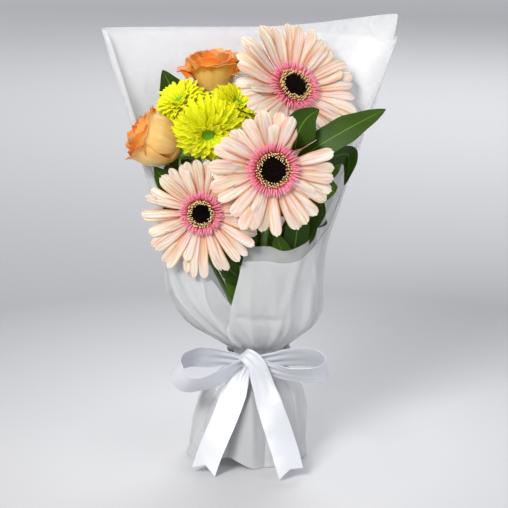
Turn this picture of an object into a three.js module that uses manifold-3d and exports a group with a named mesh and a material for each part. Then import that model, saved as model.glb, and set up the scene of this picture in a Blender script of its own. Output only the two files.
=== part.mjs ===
// A wrapped gerbera bouquet: three gerberas, two roses, a spray of chrysanthemums and leafy stems, bound
// at the waist, wrapped in two sheets of translucent paper and tied with a satin ribbon bow. It stands on
// its cut stem ends and on the hem of the paper skirt round them.
//
// Units are millimetres, +Z is up and -Y is the front. The origin is on the surface that the bouquet
// stands on, under the middle of its bounding box.

import * as THREE from 'three';
import { mergeVertices } from 'three/addons/utils/BufferGeometryUtils.js';
import Module from 'manifold-3d';

const wasm = await Module();
wasm.setup();

// ---- driving dimensions -------------------------------------------------------------------------------

const GAP = 0.3;                 // clearance between pieces that touch
const TIE_HEIGHT = 96;           // where the stems are bound
const STEM_RADIUS = 3.6;         // gerbera and rose stems
const LEAFY_STEM_RADIUS = 2.6;
const INNER_RING = 7.6;          // stem places round the middle stem at the tie
const OUTER_RING = 12;
const FOOT_SPREAD = 2.2;         // how much wider the stems stand at the foot than at the tie
const BOUND_LENGTH = 14;         // stretch at the tie where the stems run straight up

const PAPER = 0.9;               // thickness of a sheet, measured outwards from the axis
const FLUTES = 10;               // soft pleats that run from the tie into the skirt and the cone
const WRAP_OVERLAP = 3.2;        // how far the right flap stands off the left flap that it covers

const RIBBON_WIDTH = 25;
const RIBBON = 0.9;              // ribbon thickness

const RAY_COUNT = 13;            // rays in each of the two layers of a gerbera
const RAY_WIDTH = 13;
const PETAL = 0.8;               // thickness of petals and leaves
const MUM_PETAL_WIDTH = 7.6;

// ---- colours and finishes -----------------------------------------------------------------------------

function finish(color, roughness) {
  return new THREE.MeshStandardMaterial({ color, roughness, metalness: 0 });
}

const RAY_PEACH = finish(0xf6cfb4, 0.6);
const FLORET_PINK = finish(0xe9668c, 0.65);
const STAMEN_YELLOW = finish(0xf0cf6a, 0.7);
const EYE_DARK = finish(0x1c0d0b, 0.8);
const ROSE_APRICOT = finish(0xf59a4a, 0.55);
const MUM_YELLOW = finish(0xf2ec1e, 0.6);
const MUM_GREEN = finish(0x7fb52a, 0.6);
const STEM_GREEN = finish(0x5d8f3a, 0.55);
const LEAF_GREEN = finish(0x2f5f1c, 0.4);
const PAPER_WHITE = finish(0xeeeef2, 0.75);
const RIBBON_WHITE = finish(0xf4f5fb, 0.3);
const TWINE_TAN = finish(0xb89a68, 0.9);

// ---- small geometry tools -----------------------------------------------------------------------------

const UP = new THREE.Vector3(0, 0, 1);
const FULL_TURN = 2 * Math.PI;
const rad = THREE.MathUtils.degToRad;
const mix = THREE.MathUtils.lerp;
const vec = (x, y, z) => new THREE.Vector3(x, y, z);

// Repeatable random numbers from 0 to 1.
function seededRandom(seed) {
  let state = seed;
  return () => {
    state = (state * 1664525 + 1013904223) % 4294967296;
    return state / 4294967296;
  };
}

// Reads a smooth curve through [place, value] pairs.
function along(pairs, at) {
  if (at <= pairs[0][0]) return pairs[0][1];
  const last = pairs.length - 1;
  if (at >= pairs[last][0]) return pairs[last][1];
  let i = 0;
  while (pairs[i + 1][0] < at) i += 1;
  const slope = (a, b) => (b[1] - a[1]) / (b[0] - a[0]);
  const here = slope(pairs[i], pairs[i + 1]);
  const before = i > 0 ? slope(pairs[i - 1], pairs[i]) : here;
  const after = i + 2 <= last ? slope(pairs[i + 1], pairs[i + 2]) : here;
  const tangent = (a, b) => (a * b > 0 ? (2 * a * b) / (a + b) : 0);
  const width = pairs[i + 1][0] - pairs[i][0];
  const t = (at - pairs[i][0]) / width;
  const start = tangent(before, here) * width;
  const end = tangent(here, after) * width;
  const rise = pairs[i + 1][1] - pairs[i][1];
  return pairs[i][1] + start * t + (3 * rise - 2 * start - end) * t * t + (start + end - 2 * rise) * t ** 3;
}

function toSolid(geometry) {
  const bare = geometry.clone();
  bare.deleteAttribute('normal');
  bare.deleteAttribute('uv');
  const merged = mergeVertices(bare, 1e-4);
  const mesh = new wasm.Mesh({
    numProp: 3,
    vertProperties: new Float32Array(merged.attributes.position.array),
    triVerts: new Uint32Array(merged.index.array),
  });
  return new wasm.Manifold(mesh);
}

function toGeometry(solid) {
  const mesh = solid.getMesh();
  const geometry = new THREE.BufferGeometry();
  geometry.setAttribute('position', new THREE.BufferAttribute(mesh.vertProperties, 3));
  geometry.setIndex(new THREE.BufferAttribute(mesh.triVerts, 1));
  return geometry;
}

function fuse(geometries) {
  const [first, ...rest] = geometries.map(toSolid);
  return toGeometry(rest.reduce((body, piece) => body.add(piece), first));
}

// Gives a flat grid two faces, split alike, and a rim. place(u, v, face) puts each corner.
function blade(columns, rows, place) {
  const grid = new THREE.PlaneGeometry(1, 1, columns, rows);
  const flat = grid.attributes.position;
  const corners = [];
  for (const face of [0, 1]) {
    for (let i = 0; i < flat.count; i += 1) {
      corners.push(...place(flat.getX(i) + 0.5, flat.getY(i) + 0.5, face).toArray());
    }
  }
  const triangles = [];
  const top = grid.index.array;
  for (let i = 0; i < top.length; i += 3) {
    triangles.push(top[i] + flat.count, top[i + 1] + flat.count, top[i + 2] + flat.count);
    triangles.push(top[i], top[i + 2], top[i + 1]);
  }
  const corner = (column, row) => row * (columns + 1) + column;
  const rim = [];
  for (let c = 0; c < columns; c += 1) rim.push(corner(c, rows));
  for (let r = rows; r > 0; r -= 1) rim.push(corner(columns, r));
  for (let c = columns; c > 0; c -= 1) rim.push(corner(c, 0));
  for (let r = 0; r < rows; r += 1) rim.push(corner(0, r));
  rim.forEach((here, i) => {
    const next = rim[(i + 1) % rim.length];
    triangles.push(here, next, next + flat.count);
    triangles.push(here, next + flat.count, here + flat.count);
  });
  const geometry = new THREE.BufferGeometry();
  geometry.setAttribute('position', new THREE.Float32BufferAttribute(corners, 3));
  geometry.setIndex(triangles);
  return geometry;
}

// Turns a profile of [radius, height] pairs round an upright axis.
function lathe(profile, segments) {
  const points = profile.map(([radius, height]) => new THREE.Vector2(radius, height));
  return new THREE.LatheGeometry(points, segments).rotateX(Math.PI / 2);
}

// A smooth route whose even steps fall on its own points.
class SteppedRoute extends THREE.CatmullRomCurve3 {
  getUtoTmapping(share) {
    return share;
  }
}

function tube(points, radius, sides) {
  const section = new THREE.Shape();
  for (let i = 0; i < sides; i += 1) {
    const turn = (i / sides) * FULL_TURN;
    const x = radius * Math.cos(turn);
    const y = radius * Math.sin(turn);
    if (i === 0) section.moveTo(x, y);
    else section.lineTo(x, y);
  }
  section.closePath();
  const route = new SteppedRoute(points, false, 'centripetal');
  const steps = points.length - 1;
  return new THREE.ExtrudeGeometry(section, { steps, extrudePath: route, bevelEnabled: false });
}

// Reads a list of numbers or points at a share of the way along it.
function partWay(list, share, blend) {
  const at = share * (list.length - 1);
  const i = Math.min(Math.floor(at), list.length - 2);
  return blend(list[i], list[i + 1], at - i);
}

// ---- the wrap's shape ---------------------------------------------------------------------------------

// Half width, depth in front of and behind the middle, and where that middle is, by height.
const WRAP_HALF_WIDTH = [
  [0, 54], [30, 51], [62, 43], [78, 31], [88, 21.8], [TIE_HEIGHT, 21], [104, 21.8], [114, 36], [130, 58],
  [145, 66.5], [160, 71], [198, 74.5], [244, 86], [290, 100.5], [333, 116.5], [350, 123], [410, 145],
];
const WRAP_FRONT = [
  [0, 50], [30, 48], [62, 42], [78, 30], [88, 21.8], [TIE_HEIGHT, 21], [104, 21.8],
  [114, 28], [130, 35], [160, 39], [198, 35], [244, 26], [290, 20], [350, 17], [410, 15],
];
const WRAP_BACK = [
  [0, 48], [30, 46], [62, 41], [78, 30], [88, 21.8], [TIE_HEIGHT, 21], [104, 21.8],
  [114, 28], [130, 36], [160, 45], [198, 52], [244, 54], [290, 49], [333, 37], [350, 31], [410, 13],
];
const WRAP_MIDDLE_X = [
  [0, -6], [62, -1], [TIE_HEIGHT, 5], [130, -1], [160, -7.5], [198, -8.5], [244, -5.5], [290, -4], [333, -2.5],
  [350, -2], [410, 0],
];
const WRAP_MIDDLE_Y = [[0, -2], [TIE_HEIGHT, 0], [198, 0], [244, 6], [290, 20], [333, 38], [350, 47], [410, 77]];
const FLUTE_DEPTH = [[0, 2.6], [62, 3.2], [TIE_HEIGHT, 3.4], [104, 2.6], [122, 0.8], [145, 0.3], [165, 0]];

// Height of each sheet's upper edge, by the angle round the bouquet: 0 is the front, 90 the left,
// 180 the back and 270 the right. The left flap starts the turn and the right flap ends it.
const INNER_EDGE = [
  [-6, 138], [10, 156], [23, 178], [50, 210], [66, 242], [78, 391], [90, 392],
  [180, 392], [265, 386], [282, 391], [294, 246], [313, 211], [330, 205], [357, 210], [390, 210],
];
const OUTER_EDGE = [
  [18, 156], [29, 181], [52, 214], [66, 248], [78, 395], [90, 397],
  [180, 396], [252, 409], [264, 350], [276, 288], [290, 222], [327, 194], [361, 197], [390, 197],
];
const FLAP_SLANT_FROM = 330;     // angle where the right flap's columns start to lean
const FLAP_END = 390;            // angle of the right flap's free edge at the tie
const FLAP_END_TOP = 359.5;       // and at its upper corner
const FLAP_CORNER_HEIGHT = 200;
const HEM_LIFT = 9;              // the hem lifts off the ground at the front, where the flaps end
const HEM_LIFT_AT = 18;
const HEM_LIFT_REACH = 30;
const SHEET_GAP = 0.5;           // between the two sheets at the tie
const SHEET_GAP_ABOVE = 2.2;     // and where they open up

function flapSlant(angle, height) {
  if (angle <= FLAP_SLANT_FROM || height <= TIE_HEIGHT) return angle;
  const climb = Math.min((height - TIE_HEIGHT) / (FLAP_CORNER_HEIGHT - TIE_HEIGHT), 1);
  const end = mix(FLAP_END, FLAP_END_TOP, climb);
  return FLAP_SLANT_FROM + ((angle - FLAP_SLANT_FROM) * (end - FLAP_SLANT_FROM)) / (FLAP_END - FLAP_SLANT_FROM);
}

// How far the sheet has wound outwards by this angle, so that the right flap lies over the left one.
function winding(angle) {
  return WRAP_OVERLAP * THREE.MathUtils.smoothstep(angle, 190, 320);
}

// The point of the wrap at an angle and a height, a distance outwards from its inner face.
function wrapPoint(angle, height, outwards) {
  const turn = rad(angle);
  const halfWidth = along(WRAP_HALF_WIDTH, height);
  const depth = along(Math.cos(turn) > 0 ? WRAP_FRONT : WRAP_BACK, height);
  const flute = along(FLUTE_DEPTH, height) * Math.cos(FLUTES * turn);
  const outward = vec(-depth * Math.sin(turn), -halfWidth * Math.cos(turn), 0).normalize();
  const base = vec(
    along(WRAP_MIDDLE_X, height) - halfWidth * Math.sin(turn),
    along(WRAP_MIDDLE_Y, height) - depth * Math.cos(turn),
    height,
  );
  return base.addScaledVector(outward, flute + outwards);
}

const SHEET_ROWS = [0, 52, 88, 104, 122, 145, 175, 215, 255, 300, 350];
const COLUMN_STEP = 12;
const SAME_ROW = 14;             // columns' corners this near in height count as one row

function hemHeight(angle) {
  const wrapped = ((angle + 180) % 360) - 180;
  const off = Math.abs(wrapped - HEM_LIFT_AT) / HEM_LIFT_REACH;
  return off < 1 ? HEM_LIFT * Math.cos((off * Math.PI) / 2) ** 2 : 0;
}

function sheetPoint(angle, height, layer, face) {
  const above = THREE.MathUtils.smoothstep(height, 104, 145);
  const spacing = PAPER + mix(SHEET_GAP, SHEET_GAP_ABOVE, above);
  const wound = winding(angle) * mix(1, 2, above);
  return wrapPoint(flapSlant(angle, height), height, layer * spacing + wound + face * PAPER);
}

// A sheet is built in upright columns. Each has the rows that lie below the sheet's edge there, and one
// more on the edge, and neighbouring columns are zipped together from the hem upwards.
function paperSheet(firstAngle, edge, layer) {
  const corners = [[], []];
  const columns = [];
  for (let angle = firstAngle; angle <= FLAP_END; angle += COLUMN_STEP) {
    const top = along(edge, angle);
    const heights = SHEET_ROWS.filter((height) => height < top - 8);
    heights[0] = hemHeight(angle);
    heights.push(top);
    columns.push(heights.map((height) => {
      corners[0].push(...sheetPoint(angle, height, layer, 0).toArray());
      corners[1].push(...sheetPoint(angle, height, layer, 1).toArray());
      return { height, index: corners[0].length / 3 - 1 };
    }));
  }
  const outer = corners[0].length / 3;
  const triangles = [];
  const addTriangle = (a, b, c) => {
    triangles.push(a, c, b, a + outer, b + outer, c + outer);
  };
  for (let i = 0; i + 1 < columns.length; i += 1) {
    const here = columns[i];
    const next = columns[i + 1];
    let h = 0;
    let n = 0;
    while (h + 1 < here.length || n + 1 < next.length) {
      const hereHeight = h + 1 < here.length ? here[h + 1].height : Infinity;
      const nextHeight = n + 1 < next.length ? next[n + 1].height : Infinity;
      if (hereHeight <= nextHeight + SAME_ROW) {
        addTriangle(here[h].index, here[h + 1].index, next[n].index);
        h += 1;
      } else {
        addTriangle(here[h].index, next[n + 1].index, next[n].index);
        n += 1;
      }
    }
  }
  const first = columns[0].map((spot) => spot.index);
  const last = columns[columns.length - 1].map((spot) => spot.index);
  const hem = columns.map((column) => column[0].index);
  const top = columns.map((column) => column[column.length - 1].index);
  const rim = [...hem.reverse(), ...first.slice(1), ...top.slice(1), ...last.reverse().slice(1, -1)];
  rim.forEach((here, i) => {
    const next = rim[(i + 1) % rim.length];
    triangles.push(here, next, here + outer, next, next + outer, here + outer);
  });
  const geometry = new THREE.BufferGeometry();
  geometry.setAttribute('position', new THREE.Float32BufferAttribute([...corners[0], ...corners[1]], 3));
  geometry.setIndex(triangles);
  return geometry;
}

// ---- stems --------------------------------------------------------------------------------------------

// A stem's place round the bundle, at a height from the foot to the tie.
function bundlePlace(ring, angle, height) {
  const share = Math.min(height / (TIE_HEIGHT - BOUND_LENGTH / 2), 1);
  const spread = mix(FOOT_SPREAD, 1, share);
  const middleX = mix(-3, along(WRAP_MIDDLE_X, TIE_HEIGHT), share);
  const turn = rad(angle);
  return vec(middleX + ring * spread * Math.cos(turn), ring * spread * Math.sin(turn), height);
}

// A stem from its cut end on the ground, through its place at the tie, to the points above it.
function stem(place, radius, above) {
  const bound = BOUND_LENGTH / 2;
  const heights = [-8, TIE_HEIGHT / 2, TIE_HEIGHT - bound, TIE_HEIGHT + bound];
  const below = heights.map((height) => bundlePlace(place.ring, place.angle, height));
  const whole = toSolid(tube([...below, ...above], radius, 6));
  const ground = new THREE.BoxGeometry(400, 400, 40).translate(0, 0, -20);
  return toGeometry(whole.subtract(toSolid(ground)));
}

// ---- gerberas -----------------------------------------------------------------------------------------

const HUB_DEPTH = 3.6;
const UPPER_RAYS_DROP = 0.9;     // how far the rays' roots lie below the head's face
const RAY_LAYER_GAP = 1.7;       // from the upper layer of rays down to the lower one
// Its rays reach further by the share `longer` towards the angle `longest`, and rise by `cup` to their tips.
// A gerbera without rays over a part of its turn gives the angles where that part starts and ends.
const GERBERAS = [
  {
    name: 'gerbera_front', centre: vec(19, -50, 285.6), facing: vec(0.15, -0.98, 0.1),
    reach: 57.5, longer: 0.05, longest: 275, cup: 4, eye: 11, stamens: 15.5, florets: 25, seed: 3,
    bare: [31, 76],
    place: { ring: INNER_RING, angle: -75 },
    route: [vec(9, -12, 140), vec(11, -18, 200), vec(15, -27, 255)],
  },
  {
    name: 'gerbera_low', centre: vec(-46, -37, 242), facing: vec(-0.18, -0.975, 0.08),
    reach: 54.5, longer: 0.1, longest: 245, cup: 4, eye: 8.5, stamens: 12, florets: 20.5,
    seed: 5,
    place: { ring: INNER_RING, angle: -135 },
    route: [vec(-8, -10, 135), vec(-24, -14, 185), vec(-36, -18, 220)],
  },
  {
    name: 'gerbera_high', centre: vec(39, 18, 350), facing: vec(0.42, -0.68, 0.6),
    reach: 64, longer: 0.03, longest: 180, cup: 11, eye: 11, stamens: 15.5, florets: 25.5,
    seed: 8,
    place: { ring: INNER_RING, angle: -15 },
    route: [vec(18, -1, 150), vec(24, 6, 230), vec(31, 20, 300), vec(34, 26, 335)],
  },
];

function ray(turn, reach, base, florets, drop, cup) {
  const [rows, spacing] = cup > 6 ? [3, 0.85] : [2, 1.9];
  return blade(1, rows, (u, v, face) => {
    const out = mix(base, reach, 1 - (1 - v) ** spacing);
    const width = RAY_WIDTH * (0.3 + 0.8 * Math.sqrt(v)) * (v > 0.99 ? 0.46 : 1);
    const rise = cup * THREE.MathUtils.smoothstep(out, florets * 0.75, reach * 0.9) - 1.5 * v ** 4;
    const spot = vec(out, (0.5 - u) * width, rise - drop + (face - 0.5) * PETAL);
    return spot.applyAxisAngle(UP, turn);
  });
}

function rays(flower) {
  const random = seededRandom(flower.seed);
  const base = flower.stamens - 3;
  const hub = lathe([[0, -HUB_DEPTH], [base + 3, -HUB_DEPTH], [base + 4, 0], [0, 0]], 15);
  const pieces = [hub];
  for (const layer of [0, 1]) {
    for (let i = 0; i < RAY_COUNT; i += 1) {
      const turn = ((i + layer / 2 + (random() - 0.5) * 0.12) / RAY_COUNT) * FULL_TURN;
      const side = 1 + flower.longer * Math.cos(turn - rad(flower.longest));
      const reach = flower.reach * side * (0.93 + 0.09 * random());
      if (flower.bare && turn > rad(flower.bare[0]) && turn < rad(flower.bare[1])) continue;
      const drop = UPPER_RAYS_DROP + layer * RAY_LAYER_GAP;
      pieces.push(ray(turn, reach, base, flower.florets, drop, flower.cup));
    }
  }
  return fuse(pieces);
}

// The raised ring of short pink florets: their free pointed tips stand out and up all round it.
function floretRing(flower) {
  const tips = 14;
  const inner = flower.stamens + GAP;
  const profile = [[inner, GAP], [inner + 3, GAP], [flower.florets, 7.4], [inner + 0.6, 5.6], [inner, GAP]];
  const crown = lathe(profile, tips * 2);
  const spots = crown.attributes.position;
  for (let i = 0; i < spots.count; i += 1) {
    const out = Math.hypot(spots.getX(i), spots.getY(i));
    if (out > inner + 4) {
      const valley = Math.cos(tips * Math.atan2(spots.getY(i), spots.getX(i))) < 0;
      const share = valley ? 0.8 : 1;
      spots.setXYZ(i, spots.getX(i) * share, spots.getY(i) * share, valley ? 5.2 : 7.4);
    }
  }
  return crown;
}

// The ring of stamens has a toothed upper edge.
function stamenRing(flower) {
  const teeth = 9;
  const ring = lathe([
    [flower.eye + GAP, GAP], [flower.stamens, GAP], [flower.stamens - 0.4, 4.8], [flower.eye + GAP + 0.4, 4.8],
    [flower.eye + GAP, GAP],
  ], teeth * 2);
  const spots = ring.attributes.position;
  for (let i = 0; i < spots.count; i += 1) {
    if (spots.getZ(i) > 4) {
      const turn = Math.atan2(spots.getY(i), spots.getX(i));
      spots.setZ(i, 4.8 + 1.1 * Math.cos(teeth * turn));
    }
  }
  return ring;
}

// The eye is a low dome whose tight unopened florets stand up as bumps.
function darkEye(flower) {
  const profile = [[0, GAP], [flower.eye, GAP], [flower.eye - 0.4, 2.6], [flower.eye * 0.62, 3.6], [0, 3.2]];
  const dome = lathe(profile, 10);
  const spots = dome.attributes.position;
  for (let i = 0; i < spots.count; i += 1) {
    const out = Math.hypot(spots.getX(i), spots.getY(i));
    if (out > 1 && spots.getZ(i) > 1) {
      const turn = Math.atan2(spots.getY(i), spots.getX(i));
      spots.setZ(i, spots.getZ(i) + 0.5 * Math.cos(5 * turn));
    }
  }
  return dome;
}

function gerberaStem(flower, head) {
  const collar = flower.stamens - 1;
  const top = -HUB_DEPTH - GAP;
  const cup = lathe([[0, top - 9], [3.4, top - 9], [collar * 0.75, top - 4.5], [collar, top], [0, top]], 9);
  cup.applyMatrix4(head.matrixWorld);
  const seat = vec(0, 0, top - 5).applyMatrix4(head.matrixWorld);
  const nape = vec(0, 0, top - 20).applyMatrix4(head.matrixWorld);
  const stalk = stem(flower.place, STEM_RADIUS, [...flower.route, nape, seat]);
  return fuse([stalk, cup]);
}

// ---- roses --------------------------------------------------------------------------------------------

const ROSES = [
  {
    name: 'rose_left', base: vec(-67, -6, 293), facing: vec(-0.906, -0.07, 0.425), height: 46, seed: 11,
    place: { ring: INNER_RING, angle: 165 },
    route: [vec(-10, 3, 140), vec(-28, 3, 200), vec(-44, 0, 255), vec(-54, -3, 280)],
  },
  {
    name: 'rose_back', base: vec(-34, 53, 328), facing: vec(-0.05, -0.1, 0.99), height: 50, seed: 12,
    place: { ring: INNER_RING, angle: 105 },
    route: [vec(0, 12, 140), vec(-12, 28, 210), vec(-26, 44, 280)],
  },
];
const ROSE_RINGS = [
  { count: 3, radius: 12, height: 1, half: 70, flare: 0 },
  { count: 3, radius: 17.5, height: 0.97, half: 66, flare: 1.5 },
  { count: 5, radius: 23, height: 0.9, half: 46, flare: 5 },
];
const ROSE_SWELL = [[0, 0.5], [0.3, 0.84], [0.6, 1], [0.85, 0.95], [1, 0.9]];

function roseBloom(rose) {
  const random = seededRandom(rose.seed);
  const heart = lathe([[0, 2], [5, 4], [6.6, 22], [5, rose.height * 0.86], [0, rose.height * 0.9]], 7);
  const pieces = [heart, lathe([[0, 0], [8, 0], [13.4, 4.5], [12.4, 7], [0, 7]], 10)];
  ROSE_RINGS.forEach((ring, order) => {
    for (let i = 0; i < ring.count; i += 1) {
      const middle = (i / ring.count) * 360 + order * 37 + random() * 10;
      const tall = rose.height * ring.height * (0.96 + 0.07 * random());
      pieces.push(blade(2, 3, (u, v, face) => {
        const side = 2 * u - 1;
        const turn = rad(middle + side * ring.half * (0.55 + 0.45 * Math.sqrt(v)));
        const corner = 1 - 0.16 * side * side * v;
        const lap = 1.1 * side;
        const swell = ring.radius * along(ROSE_SWELL, v) + ring.flare * v ** 4 + lap;
        const out = swell + (face - 0.5) * PETAL;
        return vec(out * Math.cos(turn), out * Math.sin(turn), 3 + (tall - 3) * v * corner);
      }));
    }
  });
  return fuse(pieces);
}

// The rose's stem ends in a small green hip with five narrow sepals under the bloom.
function roseStem(rose, head) {
  const hip = lathe([[0, -9], [3.2, -9], [6, -4], [6.2, -GAP], [0, -GAP]], 8);
  const pieces = [hip];
  for (let i = 0; i < 5; i += 1) {
    pieces.push(blade(1, 2, (u, v, face) => {
      const width = mix(5, 0.8, v);
      const spot = vec(mix(4.5, 17, v), (0.5 - u) * width, -2.6 - 5 * v * v + (face - 0.5) * PETAL);
      return spot.applyAxisAngle(UP, (i / 5) * FULL_TURN);
    }));
  }
  pieces.forEach((piece) => piece.applyMatrix4(head.matrixWorld));
  const seat = vec(0, 0, -5).applyMatrix4(head.matrixWorld);
  const nape = vec(0, 0, -18).applyMatrix4(head.matrixWorld);
  return fuse([stem(rose.place, STEM_RADIUS, [...rose.route, nape, seat]), ...pieces]);
}

// ---- chrysanthemum spray ------------------------------------------------------------------------------

const MUMS = [
  { name: 'mum_front', centre: vec(-40.5, -22.5, 316), facing: vec(0.12, -0.96, -0.25), reach: 33, seed: 21 },
  { name: 'mum_left', centre: vec(-64.5, 18.5, 331), facing: vec(-0.35, -0.4, 0.85), reach: 26, seed: 22 },
  { name: 'mum_right', centre: vec(-16, 8, 331), facing: vec(0.4, -0.42, 0.81), reach: 26, seed: 23 },
];
const MUM_LAYERS = [
  { count: 12, tilt: 97, length: 1 },
  { count: 11, tilt: 76, length: 0.98 },
  { count: 8, tilt: 52, length: 0.86 },
];
const MUM_FORK = vec(-10, 1, 216);
const MUM_CORE_TOP = 6;           // height of a bloom's solid middle, which its eye stands on

function mumBloom(mum) {
  const random = seededRandom(mum.seed);
  const core = lathe([[0, -5], [6, -5], [9, 0], [8.6, 4], [7, MUM_CORE_TOP], [0, MUM_CORE_TOP]], 10);
  const pieces = [core];
  MUM_LAYERS.forEach((layer, order) => {
    for (let i = 0; i < layer.count; i += 1) {
      const turn = ((i + order * 0.5 + (random() - 0.5) * 0.2) / layer.count) * FULL_TURN;
      const length = mum.reach * layer.length * (0.92 + 0.1 * random() + 0.13 * Math.sin(turn));
      const tilt = rad(layer.tilt);
      pieces.push(blade(1, 2, (u, v, face) => {
        const reach = mix(7.4 + order * 0.2, length, v);
        const width = MUM_PETAL_WIDTH * (0.4 + 1.1 * v - 0.85 * v ** 3) * (mum.reach / 33);
        const lift = 3.5 * Math.sin(v * 2.4) + (face - 0.5) * PETAL;
        const out = reach * Math.sin(tilt) - lift * Math.cos(tilt);
        const rise = reach * Math.cos(tilt) + lift * Math.sin(tilt);
        return vec(out, (0.5 - u) * width, rise).applyAxisAngle(UP, turn);
      }));
    }
  });
  return fuse(pieces);
}

function mumEye(mum) {
  const radius = mum.reach * 0.15;
  const low = MUM_CORE_TOP + GAP;
  return lathe([[0, low], [radius, low], [radius, low + 1.4], [radius * 0.5, low + 2.6], [0, low + 2.2]], 8);
}

function mumStem(heads) {
  const stalk = stem({ ring: 0, angle: 0 }, 3.2, [vec(3, 1, 130), vec(-3, 1, 175), MUM_FORK]);
  const pieces = [stalk];
  heads.forEach((head) => {
    const cup = lathe([[0, -12], [2.4, -12], [6, -8], [6, -5 - GAP], [0, -5 - GAP]], 7);
    cup.applyMatrix4(head.matrixWorld);
    const seat = vec(0, 0, -8).applyMatrix4(head.matrixWorld);
    const nape = vec(0, 0, -20).applyMatrix4(head.matrixWorld);
    const knee = MUM_FORK.clone().lerp(nape, 0.5).add(vec(0, 0, 6));
    const fork = MUM_FORK.clone().add(vec(0, 0, -4));
    pieces.push(cup, tube([fork, knee, nape, seat], 2, 5));
  });
  return fuse(pieces);
}

// ---- leafy stems --------------------------------------------------------------------------------------

// Each leaf leaves the stem at a share of the way up its free part. It runs to its tip by a point that it
// bends towards, if it has one, and is turned about its own length.
const LEAFY_STEMS = [
  {
    name: 'foliage_right', place: { ring: OUTER_RING, angle: 15 },
    route: [vec(30, 6, 150), vec(44, 2, 210), vec(46, -16, 262), vec(39, -34, 294)],
    leaves: [
      { at: 0.97, tip: vec(122, -22, 336), turn: -25, width: 26 },
      { at: 0.99, tip: vec(61, -36, 338), by: vec(37, -38, 331), turn: 8, width: 30 },
      { at: 0.85, tip: vec(86, -8, 262), by: vec(112, -12, 328), turn: 38, width: 24 },
      { at: 0.62, tip: vec(70, -12, 226), turn: -30, width: 22 },
      { at: 0.74, tip: vec(80, 2, 258), turn: -20, width: 26 },
    ],
  },
  {
    name: 'foliage_left', place: { ring: OUTER_RING, angle: 195 },
    route: [vec(-16, -4, 140), vec(-40, -4, 190), vec(-62, -4, 228), vec(-70, -6, 246)],
    leaves: [
      { at: 0.98, tip: vec(-90, -12, 280), turn: 30, width: 20 },
      { at: 0.85, tip: vec(-84, 0, 236), turn: 20, width: 18 },
      { at: 0.6, tip: vec(-66, 8, 216), turn: 40, width: 20 },
    ],
  },
  {
    name: 'foliage_back_left', place: { ring: OUTER_RING, angle: 135 },
    route: [vec(-18, 22, 160), vec(-36, 38, 230), vec(-58, 54, 300)],
    leaves: [
      { at: 0.98, tip: vec(-78, 50, 350), turn: 20, width: 25 },
      { at: 0.8, tip: vec(-84, 34, 282), turn: 30, width: 20 },
      { at: 0.62, tip: vec(-10, 52, 268), turn: 10, width: 20 },
    ],
  },
  {
    name: 'foliage_back', place: { ring: OUTER_RING, angle: 75 },
    route: [vec(14, 24, 160), vec(12, 40, 230), vec(8, 46, 296)],
    leaves: [
      { at: 0.98, tip: vec(4, 44, 356), turn: 0, width: 26 },
      { at: 0.84, tip: vec(62, 50, 296), turn: 0, width: 28 },
      { at: 0.66, tip: vec(60, 34, 250), turn: 0, width: 28 },
      { at: 0.55, tip: vec(-22, 48, 232), turn: 0, width: 20 },
    ],
  },
  {
    name: 'foliage_low_right', place: { ring: OUTER_RING, angle: -45 },
    route: [vec(22, -12, 134), vec(32, -14, 168), vec(40, -16, 200)],
    leaves: [
      { at: 0.98, tip: vec(62, -15, 246), turn: -20, width: 22 },
      { at: 0.75, tip: vec(22, -30, 222), turn: 10, width: 20 },
      { at: 0.55, tip: vec(52, -8, 172), turn: -20, width: 18 },
    ],
  },
  {
    name: 'foliage_low_front', place: { ring: OUTER_RING, angle: -105 },
    route: [vec(-2, -19, 132), vec(-8, -24, 164), vec(-10, -26, 190)],
    leaves: [
      { at: 0.98, tip: vec(-2, -28, 236), turn: 10, width: 20 },
      { at: 0.8, tip: vec(-32, -24, 196), turn: 10, width: 18 },
      { at: 0.66, tip: vec(12, -28, 186), turn: 0, width: 18 },
    ],
  },
];

function leafBlade(root, leaf) {
  const bend = leaf.by ?? root.clone().lerp(leaf.tip, 0.5);
  const rib = new THREE.QuadraticBezierCurve3(root, bend, leaf.tip);
  const length = rib.getLength();
  return blade(1, leaf.by ? 5 : 3, (u, v, face) => {
    const ahead = rib.getTangent(v);
    const side = ahead.clone().cross(vec(0, 1, 0)).normalize().applyAxisAngle(ahead, rad(leaf.turn));
    const outward = ahead.clone().cross(side);
    const across = 0.6 + (leaf.width / 2) * Math.sin(Math.PI * v ** 0.85) ** 0.75;
    const arch = length * 0.07 * Math.sin(Math.PI * v);
    const spot = rib.getPoint(v).addScaledVector(side, (1 - 2 * u) * across);
    return spot.addScaledVector(outward, arch + (face - 0.5) * PETAL);
  });
}

function leafyStem(spray) {
  const tied = bundlePlace(spray.place.ring, spray.place.angle, TIE_HEIGHT + BOUND_LENGTH / 2);
  const free = [tied, ...spray.route];
  const leaves = spray.leaves.map((leaf) => {
    return leafBlade(partWay(free, leaf.at, (a, b, share) => a.clone().lerp(b, share)), leaf);
  });
  return fuse([stem(spray.place, LEAFY_STEM_RADIUS, spray.route), ...leaves]);
}

// ---- binding twine and ribbon -------------------------------------------------------------------------

const TWINE = 2;

// Three turns of twine lie against each other round the stems.
function bindingTwine() {
  const inner = OUTER_RING + LEAFY_STEM_RADIUS + 2 * GAP;
  const profile = [[inner, -3], [inner + TWINE * 0.6, -3]];
  for (let turn = 0; turn < 3; turn += 1) {
    profile.push([inner + TWINE, -2 + 2 * turn], [inner + TWINE * 0.6, -1 + 2 * turn]);
  }
  profile.push([inner, 3], [inner, -3]);
  const middle = bundlePlace(0, 0, TIE_HEIGHT);
  return lathe(profile, 14).translate(middle.x, middle.y, TIE_HEIGHT);
}

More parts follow.
